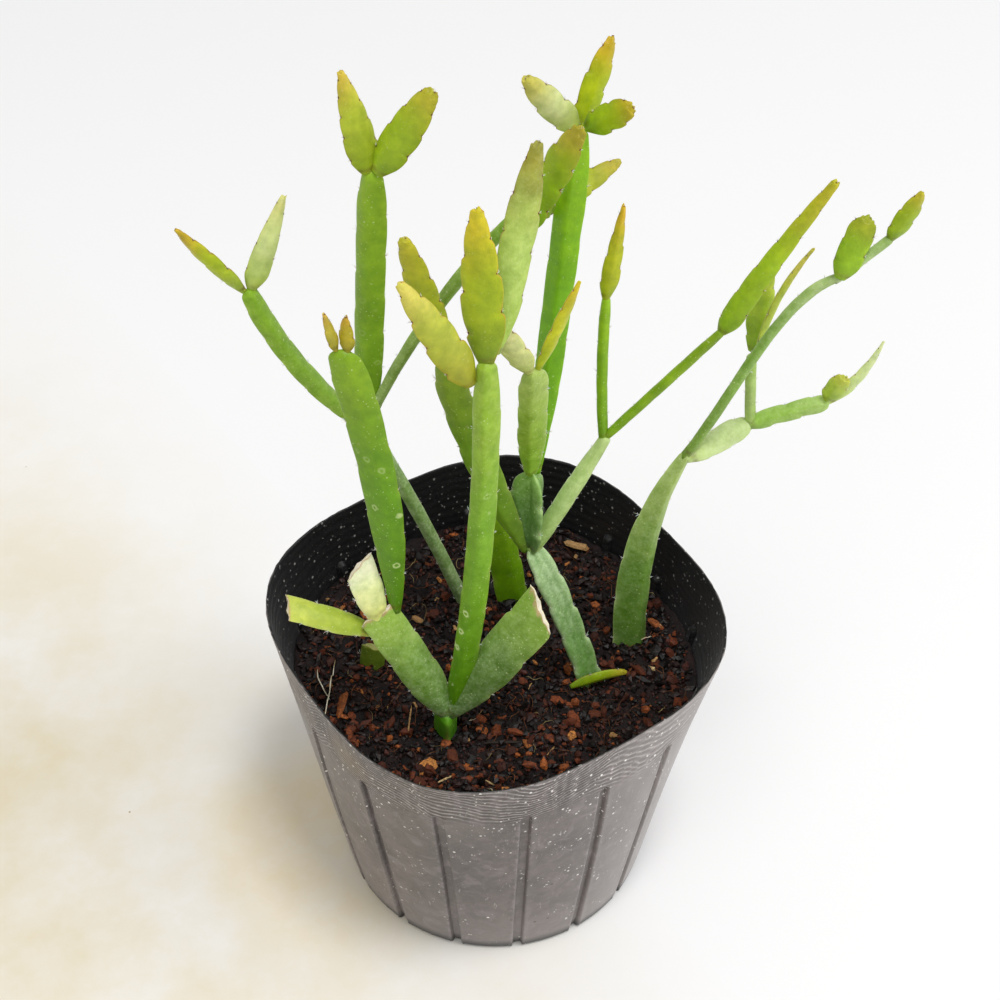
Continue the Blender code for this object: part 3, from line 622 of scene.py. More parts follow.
def chips(rows, small_bits):
    """Split flakes: thin blocks with cut and broken faces, each knocked out of true."""
    bm = bmesh.new()
    bmesh.ops.create_cube(bm, size=1)
    bmesh.ops.subdivide_edges(bm, edges=bm.edges[:], cuts=1, use_grid_fill=True)
    shades = []
    for i, verts in enumerate(repeated(bm, len(rows) + small_bits)):
        if i < len(rows):
            x, y, length, width, turn, tilt, shade = rows[i]
            thick = min(1.2, 0.9 * width)
        else:
            x, y = spot_on_soil(1.5)
            length = random.uniform(0.7, 2.0)
            width, thick = length * random.uniform(0.25, 0.7), random.uniform(0.3, 0.8)
            turn, tilt, shade = random.uniform(0, 360), random.gauss(0, 25), random.random() ** 1.5
        pose = (Matrix.Rotation(math.radians(turn), 3, "Z") @ Matrix.Rotation(math.radians(tilt), 3, "Y")
                @ Matrix.Diagonal((length, width, thick)))
        centre = Vector((x, y, soil_height(x, y) + 0.3 + thick * 0.5))
        for v in verts:
            knock = Vector([random.uniform(-0.2, 0.2) * min(1.0, width) for _ in range(3)])
            v.co = (centre + pose @ (v.co * (1.5 - 0.98 * v.co.length)) + knock) * MM
        shades += [shade] * len(verts)
    return bm, shades


for name, rows, small_bits, finish in (
        ("bark_chips", LARGE_CHIPS, CHIP_BITS,
         broken_bits("composted_pine_bark", "3A180B", "92481F", "D98F48", 0.8)),
        ("pale_husk_splinters", PALE_CHIPS, SPLINTER_BITS,
         broken_bits("dry_coconut_husk", "7A5630", "D2A871", "F0DCA6", 0.8)),
        ("grey_twig", (GREY_TWIG,), 0, broken_bits("weathered_twig", "2A211B", "5E5346", "7A6E5C", 0.85))):
    bm, shades = chips(rows, small_bits)
    split = mesh_object(name, bm)
    store(split, "shade", shades)
    dress(split, finish, "coir_and_peat")
    split.data.shade_flat()

# Hair-fine strands lie over the mix: dark coir, dry pale grass, and white roots, two of them long ones against
# the wall at the front left. Each is a thread of dry plant fibre that has dropped where it lies.
STRAND_SIDES = 4
STRAND_LENGTHS = 12
# x, y, heading, length, curl and hump of the two long roots
LONG_ROOTS = (
    (-32.9, -1.5, -101, 20.0, 0.15, 1.2),
    (-37.0, -2.8, -76, 9.5, 0.1, 0.6),
)


def random_strands(count, least, most, wander):
    """Rows like those of the long roots, for strands that lie anywhere on the soil."""
    return [(*spot_on_soil(1.5), random.uniform(0, 360), random.uniform(least, most), random.gauss(0, wander),
             random.uniform(0.0, 1.0)) for _ in range(count)]


def fibres(strands, radius, lift):
    """Thin strands that lie on the soil in loose curves."""
    bm = bmesh.new()
    bmesh.ops.create_cone(bm, cap_ends=True, segments=STRAND_SIDES, radius1=1, radius2=1, depth=1,
                          matrix=Matrix.Translation((0, 0, 0.5)))
    lengthwise = [e for e in bm.edges if abs(e.verts[0].co.z - e.verts[1].co.z) > 0.5]
    bmesh.ops.subdivide_edges(bm, edges=lengthwise, cuts=STRAND_LENGTHS - 1, use_grid_fill=True)
    for verts, (x, y, heading, length, curl, hump) in zip(repeated(bm, len(strands)), strands):
        phase = random.uniform(0, 2 * math.pi)
        for v in verts:
            along = v.co.z
            bend = math.radians(heading) + curl * along
            px = x + length * along * math.cos(bend) + 0.3 * math.sin(5 * along + phase)
            py = y + length * along * math.sin(bend) + 0.3 * math.cos(4 * along + phase)
            out, most_out = math.hypot(px, py), soil_edge(math.atan2(py, px), 1.2)
            if out > most_out:
                px, py = px / out * most_out, py / out * most_out
            pz = soil_height(px, py) + lift + hump * math.sin(math.pi * along)
            thin = radius * (1.1 - 0.7 * abs(2 * along - 1) ** 3)
            side = Vector((-math.sin(bend), math.cos(bend), 0)) * v.co.x + Vector((0, 0, v.co.y))
            v.co = (Vector((px, py, pz)) + side * thin) * MM
    return bm


def dry_strand(name, dark, pale):
    """Dry plant fibre: dull, with darker and paler stretches along it."""
    fibre, where = bare_material(name)
    stretch = add(fibre, "TexNoise", {"Vector": where, "Scale": 1 / (3 * MM), "Detail": 4}, "Fac")
    stretch = add(fibre, "MapRange", {"Value": stretch, "From Min": 0.35, "From Max": 0.65})
    colour = add(fibre, "Mix", {0: stretch, 6: paint(dark), 7: paint(pale)}, 2, data_type="RGBA")
    shader = add(fibre, "BsdfPrincipled", {"Base Color": colour, "Roughness": 0.7, "IOR": 1.4})
    add(fibre, "OutputMaterial", {"Surface": shader})
    return fibre


# Each kind's strands, their radius, how high they lie and their two colours
for name, strands, radius, lift, dark, pale in (
        ("coir_fibres", random_strands(420, 1.5, 6, 0.9), 0.05, 0.6, "2E170F", "8A542C"),
        ("pale_fibres", random_strands(44, 1.5, 4.5, 0.8), 0.05, 0.8, "6E5A34", "B8A46C"),
        ("white_roots", LONG_ROOTS + tuple(random_strands(7, 2, 5, 0.6)), 0.12, 1.2, "A8966E", "F2EBD6")):
    dress(mesh_object(name, fibres(strands, radius, lift)), dry_strand(name + "_strand", dark, pale),
          "coir_and_peat")

# The cuttings: jointed, leafless stems, firm and full of water. Each joint grew from the tip of the last, so it
# is narrow where it starts. Flat and winged joints have stepped margins with a woolly areole in each notch, and
# thin ones are nearly round. The skin is waxy: mid to grey-green when old, yellow-green when young.
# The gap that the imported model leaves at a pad's neck, and how far the pad reaches past it
PAD_GAP = 0.35
PAD_OVERLAP = 0.5
# How far a joint is sunk in the one it grew on, and a rooted one in the soil
SINK = 1.2
ROOT_DEPTH = 14.0
ROUND_SIDES = 60
END_RINGS = 6
# Most flats face the light, which comes from the front and above.
LIGHT_SIDE = Vector((0.0, -1.0, 0.75))
SCAR = paint("6B4A20")


def eased(part):
    """A quick start that slows to 1."""
    return math.sin(math.pi / 2 * min(1.0, max(0.0, part)))


def mix(first, second, part):
    return [a + (b - a) * part for a, b in zip(first, second)]


class Joint:
    """One grown length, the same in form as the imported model's, with its skin's colours.

    Form: crowd is how much closer the notches lie towards the tip. A winged joint has a heart, as a share of its
    thickness, and keen wings. A flat one has a ridge, sharp or soft, that skew puts off the middle. A cut joint
    ends in a wound, which dried thin, and any other in a round tip, ragged on a young pad.
    Finish: skin holds the colours at the neck, the middle and the tip, edge that of the margins, and wound those
    of callus and flesh. bloom is how frosted it is at the neck and at the tip, rings how many ring spots it shows
    low down, and seam where the brown scar of its neck is.
    """

    def __init__(self, start, reach, width, thick, turn=0.0, bow=(0.0, 0.0, 0.0), late=1.0, notches=4, notch=0.07,
                 crowd=1.0, neck=0.5, tip=0.55, rise=0.25, fall=0.15, wings=2, heart=0.86, keen=2.0, slant=0.0,
                 ridge=0.3, skew=0.0, ragged=0.0, cut=False, seam=None, bloom=(0.0, 0.0), rings=0.0,
                 skin=("6F9A2A", "86AE30", "93B838"), edge="8FB04A", wound=("C9977C", "F1E4D2"),
                 rings_per_notch=12, sides=36):
        self.start, self.reach, self.bow, self.late = Vector(start), Vector(reach), Vector(bow), late
        self.width, self.thick, self.turn, self.slant = width, thick, math.radians(turn), slant
        self.notches, self.notch, self.crowd, self.wings = notches, notch, crowd, wings
        self.neck, self.tip_width, self.rise, self.fall = neck, tip, rise, fall
        self.heart, self.keen, self.ridge, self.skew, self.ragged = heart, keen, ridge, skew, ragged
        self.cut, self.seam, self.bloom, self.ring_spots = cut, seam, bloom, rings
        self.skin, self.edge, self.wound = [paint(code) for code in skin], paint(edge), [paint(c) for c in wound]
        self.rings, self.sides = notches * rings_per_notch, sides if wings == 2 else ROUND_SIDES
        self.end_round = 0.0 if cut else min(0.12, 0.42 * width * tip / self.reach.length)

    def axis(self, along):
        """The middle line, which bows out most about halfway along, or later."""
        late = self.late
        bend = along ** late * (1 - along) * (late + 1) ** (late + 1) / late ** late
        return self.start + self.reach * along + self.bow * bend

    @property
    def tip(self):
        return self.axis(1.0)

    def directions(self, along):
        """Across the joint, through it to its back, and the way it grows."""
        growth = (self.axis(min(1.0, along + 0.01)) - self.axis(max(0.0, along - 0.01))).normalized()
        face = LIGHT_SIDE - growth * growth.dot(LIGHT_SIDE)
        face.rotate(Matrix.Rotation(self.turn, 3, growth))
        face.normalize()
        return growth.cross(face), -face, growth

    def station(self, place):
        """A ring's place along the joint, and how far the tip has closed there."""
        body = 1 - END_RINGS / self.rings
        if self.cut or place <= body:
            return place if self.cut else place / body * (1 - self.end_round), 1.0
        turn = (place - body) / (1 - body) * math.pi / 2
        return 1 - self.end_round * (1 - math.sin(turn)), max(0.03, math.cos(turn))

    def swell(self, along):
        """The joint's width along it, as a share: narrow at its neck, and drawn in at its tip."""
        start = self.neck + (1 - self.neck) * eased(along / self.rise)
        end = self.tip_width + (1 - self.tip_width) * eased((1 - along) / self.fall)
        return start * end

    def step(self, along, wing):
        """How far along from one areole of this margin to the next, from 0 to 1."""
        return (max(0.0, along) ** self.crowd * self.notches + wing / self.wings) % 1.0

    def margin(self, along, wing):
        """The margin's steps: it widens from each areole in a long curve, and drops in sharply at the next."""
        place = self.step(along, wing)
        return 1 - self.notch * (1 - eased(0.15 + place / 0.7) * (1 - smooth((place - 0.88) / 0.12)))

    def point(self, along, angle, closed=1.0):
        """A point of the skin, in millimetres."""
        across, back, growth = self.directions(along)
        swell = self.swell(along) * closed
        edge = self.margin(along, round(angle / (2 * math.pi) * self.wings) % self.wings)
        if self.wings == 2:
            cos, sin = math.cos(angle), math.sin(angle)
            flat = min(1.0, self.width / self.thick - 1)
            lens = (1 - self.ridge) * abs(sin) ** (1 + 0.35 * flat) + self.ridge * (1 - abs(cos) ** 1.15)
            full = self.thick / 2 * (0.35 * closed + 0.65 * swell)
            if self.cut:
                full *= 1 - 0.45 * smooth((along - 0.5) / 0.5)
            x = self.width / 2 * swell * edge * (cos + self.skew * (1 - abs(cos)))
            y = full * math.copysign(lens, sin)
        else:
            crest = (0.5 + 0.5 * math.cos(self.wings * angle)) ** self.keen
            heart = self.thick * self.heart
            radius = (heart + (self.width * edge - heart) * crest) / 2 * swell
            x, y = radius * math.cos(angle), radius * math.sin(angle)
        outward = across * x + back * y
        if outward.length > 1e-6:
            outward.normalize()
        lean = self.slant * along ** 4 * x / (self.width / 2)
        spot = self.axis(along) + across * x + back * y + growth * lean
        uneven = 0.03 * noise.noise(spot / 1.6) + 0.10 * noise.noise(spot / 7.0)
        spot += outward * uneven * min(1.0, closed * 2) * min(1.0, self.width / 5)
        if self.cut:
            spot += growth * 0.55 * smooth((along - 0.9) / 0.1) * noise.noise(spot / 1.3)
        if self.ragged:
            spot -= growth * self.ragged * smooth((along - 0.86) / 0.1) * (0.5 + noise.noise(spot / 0.55))
        return spot

    def colour(self, along, angle, spot):
        """The skin's colour there: its run from neck to tip, its margin, its scar and its uneven green."""
        neck, middle, tip = self.skin
        part = along + 0.08 * noise.noise(spot / 3.0)
        if part < 0.5:
            shade = mix(neck, middle, smooth(part / 0.5))
        else:
            shade = mix(middle, tip, smooth((part - 0.5) / 0.45))
        near = abs(math.cos(angle)) if self.wings == 2 else 0.5 + 0.5 * math.cos(self.wings * angle)
        place = self.step(along, round(angle / (2 * math.pi) * self.wings))
        by_areole = 0.35 + 0.65 * smooth((abs(place - 0.5) - 0.2) / 0.25)
        wide = 0.1 if self.ragged else 0.25
        on_margin = wide * smooth((near - 0.7) / 0.25) + (0.9 - wide) * smooth((near - 0.955) / 0.04)
        shade = mix(shade, self.edge, by_areole * on_margin)
        if self.seam is not None:
            off_seam = (along * self.reach.length - self.seam) / 0.5
            shade = mix(shade, SCAR, 0.6 * math.exp(-off_seam * off_seam) * (0.6 + 0.8 * noise.noise(spot)))
        if self.cut:
            shade = mix(shade, self.wound[0], 0.8 * smooth((along - 0.982 + 0.02 * noise.noise(spot)) / 0.012))
        uneven = 1 + 0.13 * noise.noise(spot / 4.5) + 0.09 * noise.noise(spot / 1.1)
        return [min(1.0, max(0.0, channel * uneven)) for channel in shade[:3]] + [1.0]


def pad(start, reach, width, thick=1.9, **shape):
    """A young pad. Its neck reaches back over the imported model's gap, so that it meets the joint it grew on."""
    reach = Vector(reach)
    growth = reach.normalized()
    settings = dict(notches=4, notch=0.2, crowd=1.3, ragged=0.7, neck=0.4, tip=0.35, rise=0.3, fall=0.5, seam=0.9,
                    rings_per_notch=16, skin=("A9B52E", "BCC436", "C9BE3C"), edge="A06A2E")
    settings.update(shape)
    return Joint(Vector(start) - growth * PAD_OVERLAP, reach + growth * (PAD_GAP + PAD_OVERLAP), width, thick,
                 **settings)


def pad_on(parent, reach, *sizes, aside=(0.0, 0.0, 0.0), **shape):
    """A young pad at a joint's tip, or a little aside of it."""
    return pad(parent.tip + Vector(aside), reach, *sizes, **shape)


def from_tip(parent, reach, *sizes, aside=(0.0, 0.0, 0.0), **shape):
    """A mature joint, sunk in the tip of the one it grew on."""
    reach = Vector(reach)
    start = parent.tip + Vector(aside) - reach.normalized() * SINK
    return Joint(start, reach + reach.normalized() * SINK, *sizes, **{"seam": SINK + 0.5, **shape})


def rooted(place, reach, *sizes, **shape):
    """A cutting's foot. It is buried where the cutting was planted."""
    reach = Vector(reach)
    buried = reach.normalized() * ROOT_DEPTH
    return Joint(Vector((*FEET[place][:2], SOIL_TOP)) - buried, reach + buried, *sizes, **shape)


def swept(joint):
    """A unit cylinder, cut into rings, with every point moved to its place on the joint, and its colours."""
    bm = bmesh.new()
    upright = Matrix.Translation((0, 0, 0.5)) @ Matrix.Rotation(math.pi / 2, 4, "Z")
    bmesh.ops.create_cone(bm, cap_ends=True, segments=joint.sides, radius1=1, radius2=1, depth=1, matrix=upright)
    lengthwise = [e for e in bm.edges if abs(e.verts[0].co.z - e.verts[1].co.z) > 0.5]
    bmesh.ops.subdivide_edges(bm, edges=lengthwise, cuts=joint.rings - 1, use_grid_fill=True)
    end = [f for f in bm.faces if len(f.verts) == joint.sides and f.calc_center_median().z > 0.9]
    skin = bm.verts.layers.float_color.new("skin")
    bloom, rings = bm.verts.layers.float.new("bloom"), bm.verts.layers.float.new("rings")
    for v in bm.verts:
        along, closed = joint.station(min(1.0, max(0.0, v.co.z)))
        angle = math.atan2(v.co.y, v.co.x)
        v.co = joint.point(along, angle, closed)
        v[skin] = joint.colour(along, angle, v.co)
        v[bloom] = joint.bloom[0] + (joint.bloom[1] - joint.bloom[0]) * along
        v[rings] = joint.ring_spots * smooth(1.4 - 1.6 * along)
    if joint.cut:
        # The wound: a rolled edge of callus round flesh that has dried back a little.
        for inset, sink in ((0.12, -0.05), (0.14, 0.12), (0.15, 0.03)):
            bmesh.ops.inset_individual(bm, faces=end, thickness=inset, depth=-sink, use_even_offset=False)
            for v in end[0].verts:
                v[skin] = [min(1.0, c * (1 + 0.25 * noise.noise(v.co / 0.8))) for c in joint.wound[1][:3]] + [1.0]
                v[bloom] = v[rings] = 0.0
                v.co += joint.directions(1.0)[2] * 0.12 * noise.noise(v.co / 0.9)
        bmesh.ops.triangulate(bm, faces=end)
    bmesh.ops.scale(bm, verts=bm.verts, vec=(MM, MM, MM))
    return bm


def grown(name, joints):
    """One piece from a cutting's joints, each closed and sunk in the tip of the last."""
    whole = bmesh.new()
    for joint in joints:
        part = swept(joint)
        mesh = bpy.data.meshes.new("joint")
        part.to_mesh(mesh)
        part.free()
        whole.from_mesh(mesh)
        bpy.data.meshes.remove(mesh)
    return mesh_object(name, whole)


def waxy_skin(name, pores, marks, through, roughness):
    """Living stem: a waxy, semi-matt skin over wet flesh, so it glows a little and shines softly. Pale pores,
    ring spots and a grainy frost of wax lie on it, and it is never quite smooth.
    """
    skin, where = bare_material(name)
    own = add(skin, "Attribute", output="Color", attribute_name="skin")
    bloom = add(skin, "Attribute", output="Fac", attribute_name="bloom")
    rings = add(skin, "Attribute", output="Fac", attribute_name="rings")
    mottle = add(skin, "TexNoise", {"Vector": where, "Scale": 1 / (2.4 * MM), "Detail": 6, "Roughness": 0.65},
                 "Fac")
    fine = add(skin, "TexNoise", {"Vector": where, "Scale": 1 / (0.6 * MM), "Detail": 4, "Roughness": 0.65}, "Fac")
    deep = add(skin, "MapRange", {"Value": mottle, "From Min": 0.3, "From Max": 0.7, "To Min": 0.42,
                                  "To Max": 0.0})
    colour = add(skin, "Mix", {0: deep, 6: own, 7: paint("74A022")}, 2, data_type="RGBA", blend_type="MULTIPLY")
    # Pores, small and large, are drawn wider than they are so that they show.
    drift = add(skin, "TexNoise", {"Vector": where, "Scale": 1 / (3.5 * MM), "Detail": 3}, "Fac")
    drift = add(skin, "MapRange", {"Value": drift, "From Min": 0.38, "From Max": 0.55, "To Max": pores})
    small = dots(skin, where, 0.8, 0.13, drift)
    large = dots(skin, where, 1.6, 0.2, drift)
    # Ring spots: pale, broken rings a little over a millimetre across, about 4 mm apart.
    shaken = add(skin, "TexNoise", {"Vector": where, "Scale": 1 / (0.9 * MM), "Detail": 2}, "Color")
    shaken = add(skin, "VectorMath", {0: shaken, 1: (0.7 * MM, 0.7 * MM, 0.7 * MM), 2: where}, "Vector",
                 operation="MULTIPLY_ADD")
    cells = add(skin, "TexVoronoi", {"Vector": shaken, "Scale": 1 / (4.0 * MM)}, "Distance")
    ring = add(skin, "MapRange", {"Value": cells, "From Min": 0.07, "From Max": 0.13})
    outer = add(skin, "MapRange", {"Value": cells, "From Min": 0.22, "From Max": 0.15})
    for share in (outer, rings, mottle):
        ring = add(skin, "Math", {0: ring, 1: share}, operation="MULTIPLY")
    # Healed scratches and drips of hard water
    mark = dots(skin, where, 5.5, 0.35, marks)
    # The frost of wax: grains half a millimetre apart, thicker in some patches than in others.
    frost = add(skin, "MapRange", {"Value": fine, "From Min": 0.38, "From Max": 0.68, "To Min": 0.25,
                                   "To Max": 0.75})
    patches = add(skin, "MapRange", {"Value": mottle, "From Min": 0.35, "From Max": 0.62, "To Min": 0.3})
    for share in (patches, bloom):
        frost = add(skin, "Math", {0: frost, 1: share}, operation="MULTIPLY")
    for share, code in ((small, "DDE8A8"), (large, "DDE8A8"), (ring, "D6E6A2"), (mark, "A9A465"),
                        (frost, "C8DAB0")):
        colour = add(skin, "Mix", {0: share, 6: colour, 7: paint(code)}, 2, data_type="RGBA")
    sheen = add(skin, "MapRange", {"Value": mottle, "From Min": 0.3, "From Max": 0.7, "To Min": roughness - 0.06,
                                   "To Max": roughness + 0.1})
    relief = add(skin, "Math", {0: mottle, 1: fine}, operation="ADD")
    bump = add(skin, "Bump", {"Height": relief, "Strength": 0.4, "Distance": 0.00018})
    shader = add(skin, "BsdfPrincipled", {"Base Color": colour, "Roughness": sheen, "IOR": 1.37, "Normal": bump,
                                          "Subsurface Weight": through, "Subsurface Scale": 0.0014,
                                          "Subsurface Radius": (0.8, 1.0, 0.2)})
    add(skin, "OutputMaterial", {"Surface": shader})
    return skin


# Its pores, its marks, how much light goes through it and its roughness
MATURE_SKIN = waxy_skin("waxy_mature_stem", 0.5, 0.35, 0.12, 0.40)
YOUNG_SKIN = waxy_skin("tender_young_pad", 0.2, 0.0, 0.3, 0.38)
# Each joint grown so far, and whether it is a young pad
every_joint = []


def plant(name, joints, pads):
    """Shows a cutting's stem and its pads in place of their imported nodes, and keeps the joints for their wool."""
    dress(grown(name + "_grown", joints), MATURE_SKIN, name + "_skin", name)
    for pad_name, joint in pads.items():
        dress(grown(pad_name + "_grown", [joint]), YOUNG_SKIN, pad_name + "_skin", pad_name)
    every_joint.extend((joint, False) for joint in joints)
    every_joint.extend((joint, True) for joint in pads.values())


# The cutting at the front. Its two lowest flats were cut back, as were two short ones, and their wounds have
# dried to a pale callus. A tall flat and a tall round stem carry the yellowest pads of the plant.
foot = rooted("front", (0.2, -1.7, 9.0), 5.2, 4.2, wings=3, turn=40, neck=0.9, tip=0.8, notches=2,
              skin=("4F8A14", "4A8412", "5C9A1A"))
left_flat = from_tip(foot, (-12.5, 3.0, 24.6), 7.8, 3.2, notches=4, neck=0.4, tip=0.95, rise=0.45, turn=8,
                     bow=(0.6, 0, -0.6), cut=True, bloom=(0.55, 0.25), skin=("55801C", "739A28", "9BBC3C"),
                     edge="B4C878", rings_per_notch=18, sides=44)
right_flat = from_tip(foot, (17.5, 1.5, 27.0), 9.2, 3.2, notches=3, neck=0.35, tip=1.0, rise=0.5, slant=-2.8,
                      turn=-8, aside=(0.8, 0, 0), cut=True, notch=0.1, bloom=(0.5, 0.2),
                      skin=("4E7420", "5C801C", "86A82E"), edge="B0C468", rings_per_notch=22, sides=44)
short_top = from_tip(left_flat, (-3, 2, 11), 6.2, 2.4, notches=3, neck=0.55, tip=1.0, rise=0.6, slant=1.6,
                     turn=20, cut=True, skin=("E8EA84", "F8F8B4", "FFFEDA"), edge="FFFEE0", ridge=0.0)
short_side = from_tip(left_flat, (-14.5, 0, 6.0), 5.0, 2.0, notches=3, neck=0.5, tip=1.0, rise=0.5, slant=0.8,
                      turn=30, aside=(-2.2, -0.4, -3.7), cut=True, skin=("9AAE30", "B4C446", "C6CE58"),
                      edge="DCE09A", ridge=0.0)
tall_flat = from_tip(left_flat, (-6.5, 2.5, 59.8), 6.9, 3.0, notches=6, neck=0.3, tip=0.7, rise=0.45, fall=0.12,
                     slant=-0.9, bow=(1.8, 0, 0), turn=-15, aside=(3.2, 1.5, 0.5), rings=1.2, ridge=0.5, skew=0.2,
                     skin=("5E9010", "6FA016", "8CB020"), edge="9CBC3C")
tall_stem = from_tip(foot, (6.6, 3.5, 84.5), 4.9, 4.2, notches=9, neck=0.75, tip=0.7, rise=0.1, bow=(1.8, 0, 0),
                     notch=0.05, aside=(1.8, 1.0, 0), rings=1.5, bloom=(0.0, 0.15), ridge=0.55, skew=-0.2,
                     skin=("5E9208", "7CAC16", "9CBC2A"), edge="B0C858")
plant("front_stem", (foot, left_flat, right_flat, short_top, short_side, tall_flat, tall_stem), {
    "front_bud_left": pad_on(tall_flat, (-1.4, -1, 8.0), 2.3, 1.3, turn=30, notches=3, aside=(-1.0, 0, 0.3),
                             tip=0.2, fall=0.8, skin=("BCAE34", "CCBC40", "DCB448"), edge="A05A28"),
    "front_bud_right": pad_on(tall_flat, (0.1, 0.5, 6.4), 3.0, 1.3, turn=-20, notches=3, aside=(0.9, 0, 0.1),
                              tip=0.2, fall=0.7, skin=("B0A428", "C2B02A", "D0A434"), edge="8E4E24"),
    "front_pad_upright": pad_on(tall_stem, (-1.5, 4, 27.6), 7.3, 2.2, rise=0.3, fall=0.6, tip=0.28, turn=-10,
                                skin=("86A018", "B0BE1E", "DCC82A"), edge="D08A30", ridge=0.4),
    "front_pad_left": pad_on(tall_stem, (-11.0, -6.5, 25.4), 6.4, 2.0, rise=0.25, tip=0.22, fall=0.65, turn=10,
                             aside=(-2.6, -0.9, -3.8), skin=("AFAC2C", "BCC03C", "DED060"), edge="C48A44"),
    "front_pad_tall": pad_on(tall_stem, (6.8, 8, 35.4), 6.0, 2.1, notches=5, tip=0.32, fall=0.42, neck=0.35,
                             turn=18, aside=(1.4, 2.0, 0.5), bloom=(0.25, 0.1), notch=0.12,
                             skin=("AECA44", "BAD064", "9C962C"), edge="9C6A30"),
})

# The cutting right of the middle: a slanting, frosted foot that forks into a three-winged joint and two arms.
# The joints above it are bright green, with a pale one in front, and carry long and short pads at every end.
foot = rooted("centre", (-11.2, 4.9, 33.6), 6.4, 4.4, wings=3, heart=0.8, keen=2.5, turn=-10, notches=6, notch=0.2,
              neck=0.9, tip=0.6, bow=(1.2, 0, 0), bloom=(0.1, 0.8), skin=("4E8418", "66963A", "92B474"),
              edge="C4D4A4")
left_arm = from_tip(foot, (-14.8, 0, 46.5), 6.4, 2.6, notches=6, neck=0.35, tip=0.5, rise=0.5, turn=-18,
                    notch=0.11, bow=(-1.4, 0, 0), aside=(-1.0, 0, 0), ridge=0.6, skew=-0.25,
                    skin=("7CA02C", "78A01C", "86A020"), edge="B4C468")
winged = from_tip(foot, (0, 2, 18), 8.6, 4.4, wings=3, heart=0.62, keen=3.0, turn=-62, notches=3, neck=0.45,
                  tip=0.55, rise=0.4, fall=0.3, notch=0.16, bloom=(0.25, 0.3), skin=("3E6C18", "4C7C14", "6C9C20"),
                  edge="B0CC84")
pale_joint = from_tip(winged, (0, -8, 31.5), 5.6, 3.2, notches=5, neck=0.4, tip=0.6, rise=0.4, turn=12,
                      notch=0.1, bloom=(0.05, 0.25), skin=("86B024", "9CBE32", "B2C858"), edge="DCE6A4", ridge=0.8,
                      skew=-0.3)
tall_broad = from_tip(winged, (6.5, 5.5, 71.0), 5.4, 3.0, notches=7, neck=0.4, tip=0.55, rise=0.4, turn=-18,
                      aside=(0.9, 1.2, 0), notch=0.05, ridge=0.9, skin=("7EB412", "80BC0C", "96C414"),
                      edge="A4D036")
right_arm = from_tip(foot, (13.6, 6, 23.5), 3.6, 3.0, notches=4, neck=0.75, tip=0.6, fall=0.5,
                     aside=(0.8, 0, 0), bloom=(0.3, 0.3), skin=("A2C062", "BCD482", "C0D682"), edge="DCE6BA")
upright_rod = from_tip(right_arm, (-0.6, 2, 31), 2.1, 1.9, notches=5, neck=0.8, tip=0.7, sides=20,
                       bow=(-0.5, 0, 0), aside=(-0.7, 0, 0), skin=("7EAC1C", "8CBA0C", "96BE16"), edge="B0CC4A")
long_rod = from_tip(right_arm, (19.4, -2, 26.4), 1.9, 1.8, notches=5, neck=0.8, tip=0.8, sides=20,
                    skin=("88B024", "8EB21C", "88A818"), edge="B0C858")
plant("centre_stem", (foot, left_arm, winged, pale_joint, tall_broad, right_arm, upright_rod, long_rod), {
    "centre_pad_left": pad_on(left_arm, (-6.8, -3, 28.6), 5.6, notches=5, tip=0.4, turn=-15, aside=(0.6, 0, 0),
                              skin=("96A81C", "B0B81E", "C8C032")),
    "centre_pad_cream": pad_on(pale_joint, (-6, -4, 14.0), 5.2, neck=0.35, tip=0.35, turn=-30, notches=3,
                               aside=(-1.0, -0.5, 0), skin=("D2DA7E", "E8E8A0", "ECE6A4"), edge="B8904E"),
    "centre_pad_thin": pad_on(pale_joint, (6.4, -2, 20), 3.4, 1.5, turn=50, tip=0.2, aside=(0.9, 0.4, 0),
                              skin=("B4C41E", "D0D018", "DCC624"), edge="B07A2E"),
    "centre_pad_top_left": pad_on(tall_broad, (-8.8, -5.4, 12.8), 5.0, tip=0.3, fall=0.5, turn=-15, notches=3,
                                  aside=(-0.7, -0.6, -0.1), skin=("B4C646", "DCE09C", "C6BC52"), edge="8A6A2C"),
    "centre_pad_top": pad_on(tall_broad, (4.9, 4, 13.8), 4.6, tip=0.25, turn=25, notches=3, aside=(0, 0.9, 0),
                             skin=("A8BC10", "B6C20C", "D2AE22"), edge="8E5620"),
    "centre_pad_top_right": pad_on(tall_broad, (6.8, -4, 6.4), 4.8, tip=0.45, fall=0.4, notches=3, turn=10,
                                   aside=(1.3, -0.8, 0.4), skin=("86AE06", "A6C008", "BCA81E"), edge="8A4E22"),
    "centre_pad_rod": pad_on(upright_rod, (2.2, 0, 19.4), 3.6, tip=0.2, rise=0.25, fall=0.9, turn=5,
                             aside=(0, 0, 0.1), skin=("B2C012", "C8CA1E", "DCB22A"), edge="A4702A"),
    "centre_pad_long": pad_on(long_rod, (16.0, -2, 32.8), 4.3, tip=0.35, rise=0.12, fall=0.95, notches=6,
                              notch=0.12, crowd=1.0, turn=-10, bow=(-0.5, 0, 0),
                              skin=("8CB010", "A8C418", "C6BC28"), edge="9C862C"),
    "base_shoot": pad((15.9, -9.2, SOIL_TOP + 2.4), (11, 3.2, 0.6), 3.0, 1.6, notches=2, notch=0.03, turn=40,
                      tip=0.5, bow=(0, 0, 0.9), seam=None, skin=("84A01A", "9CB41C", "C2B434"), edge="8A7A22"),
})

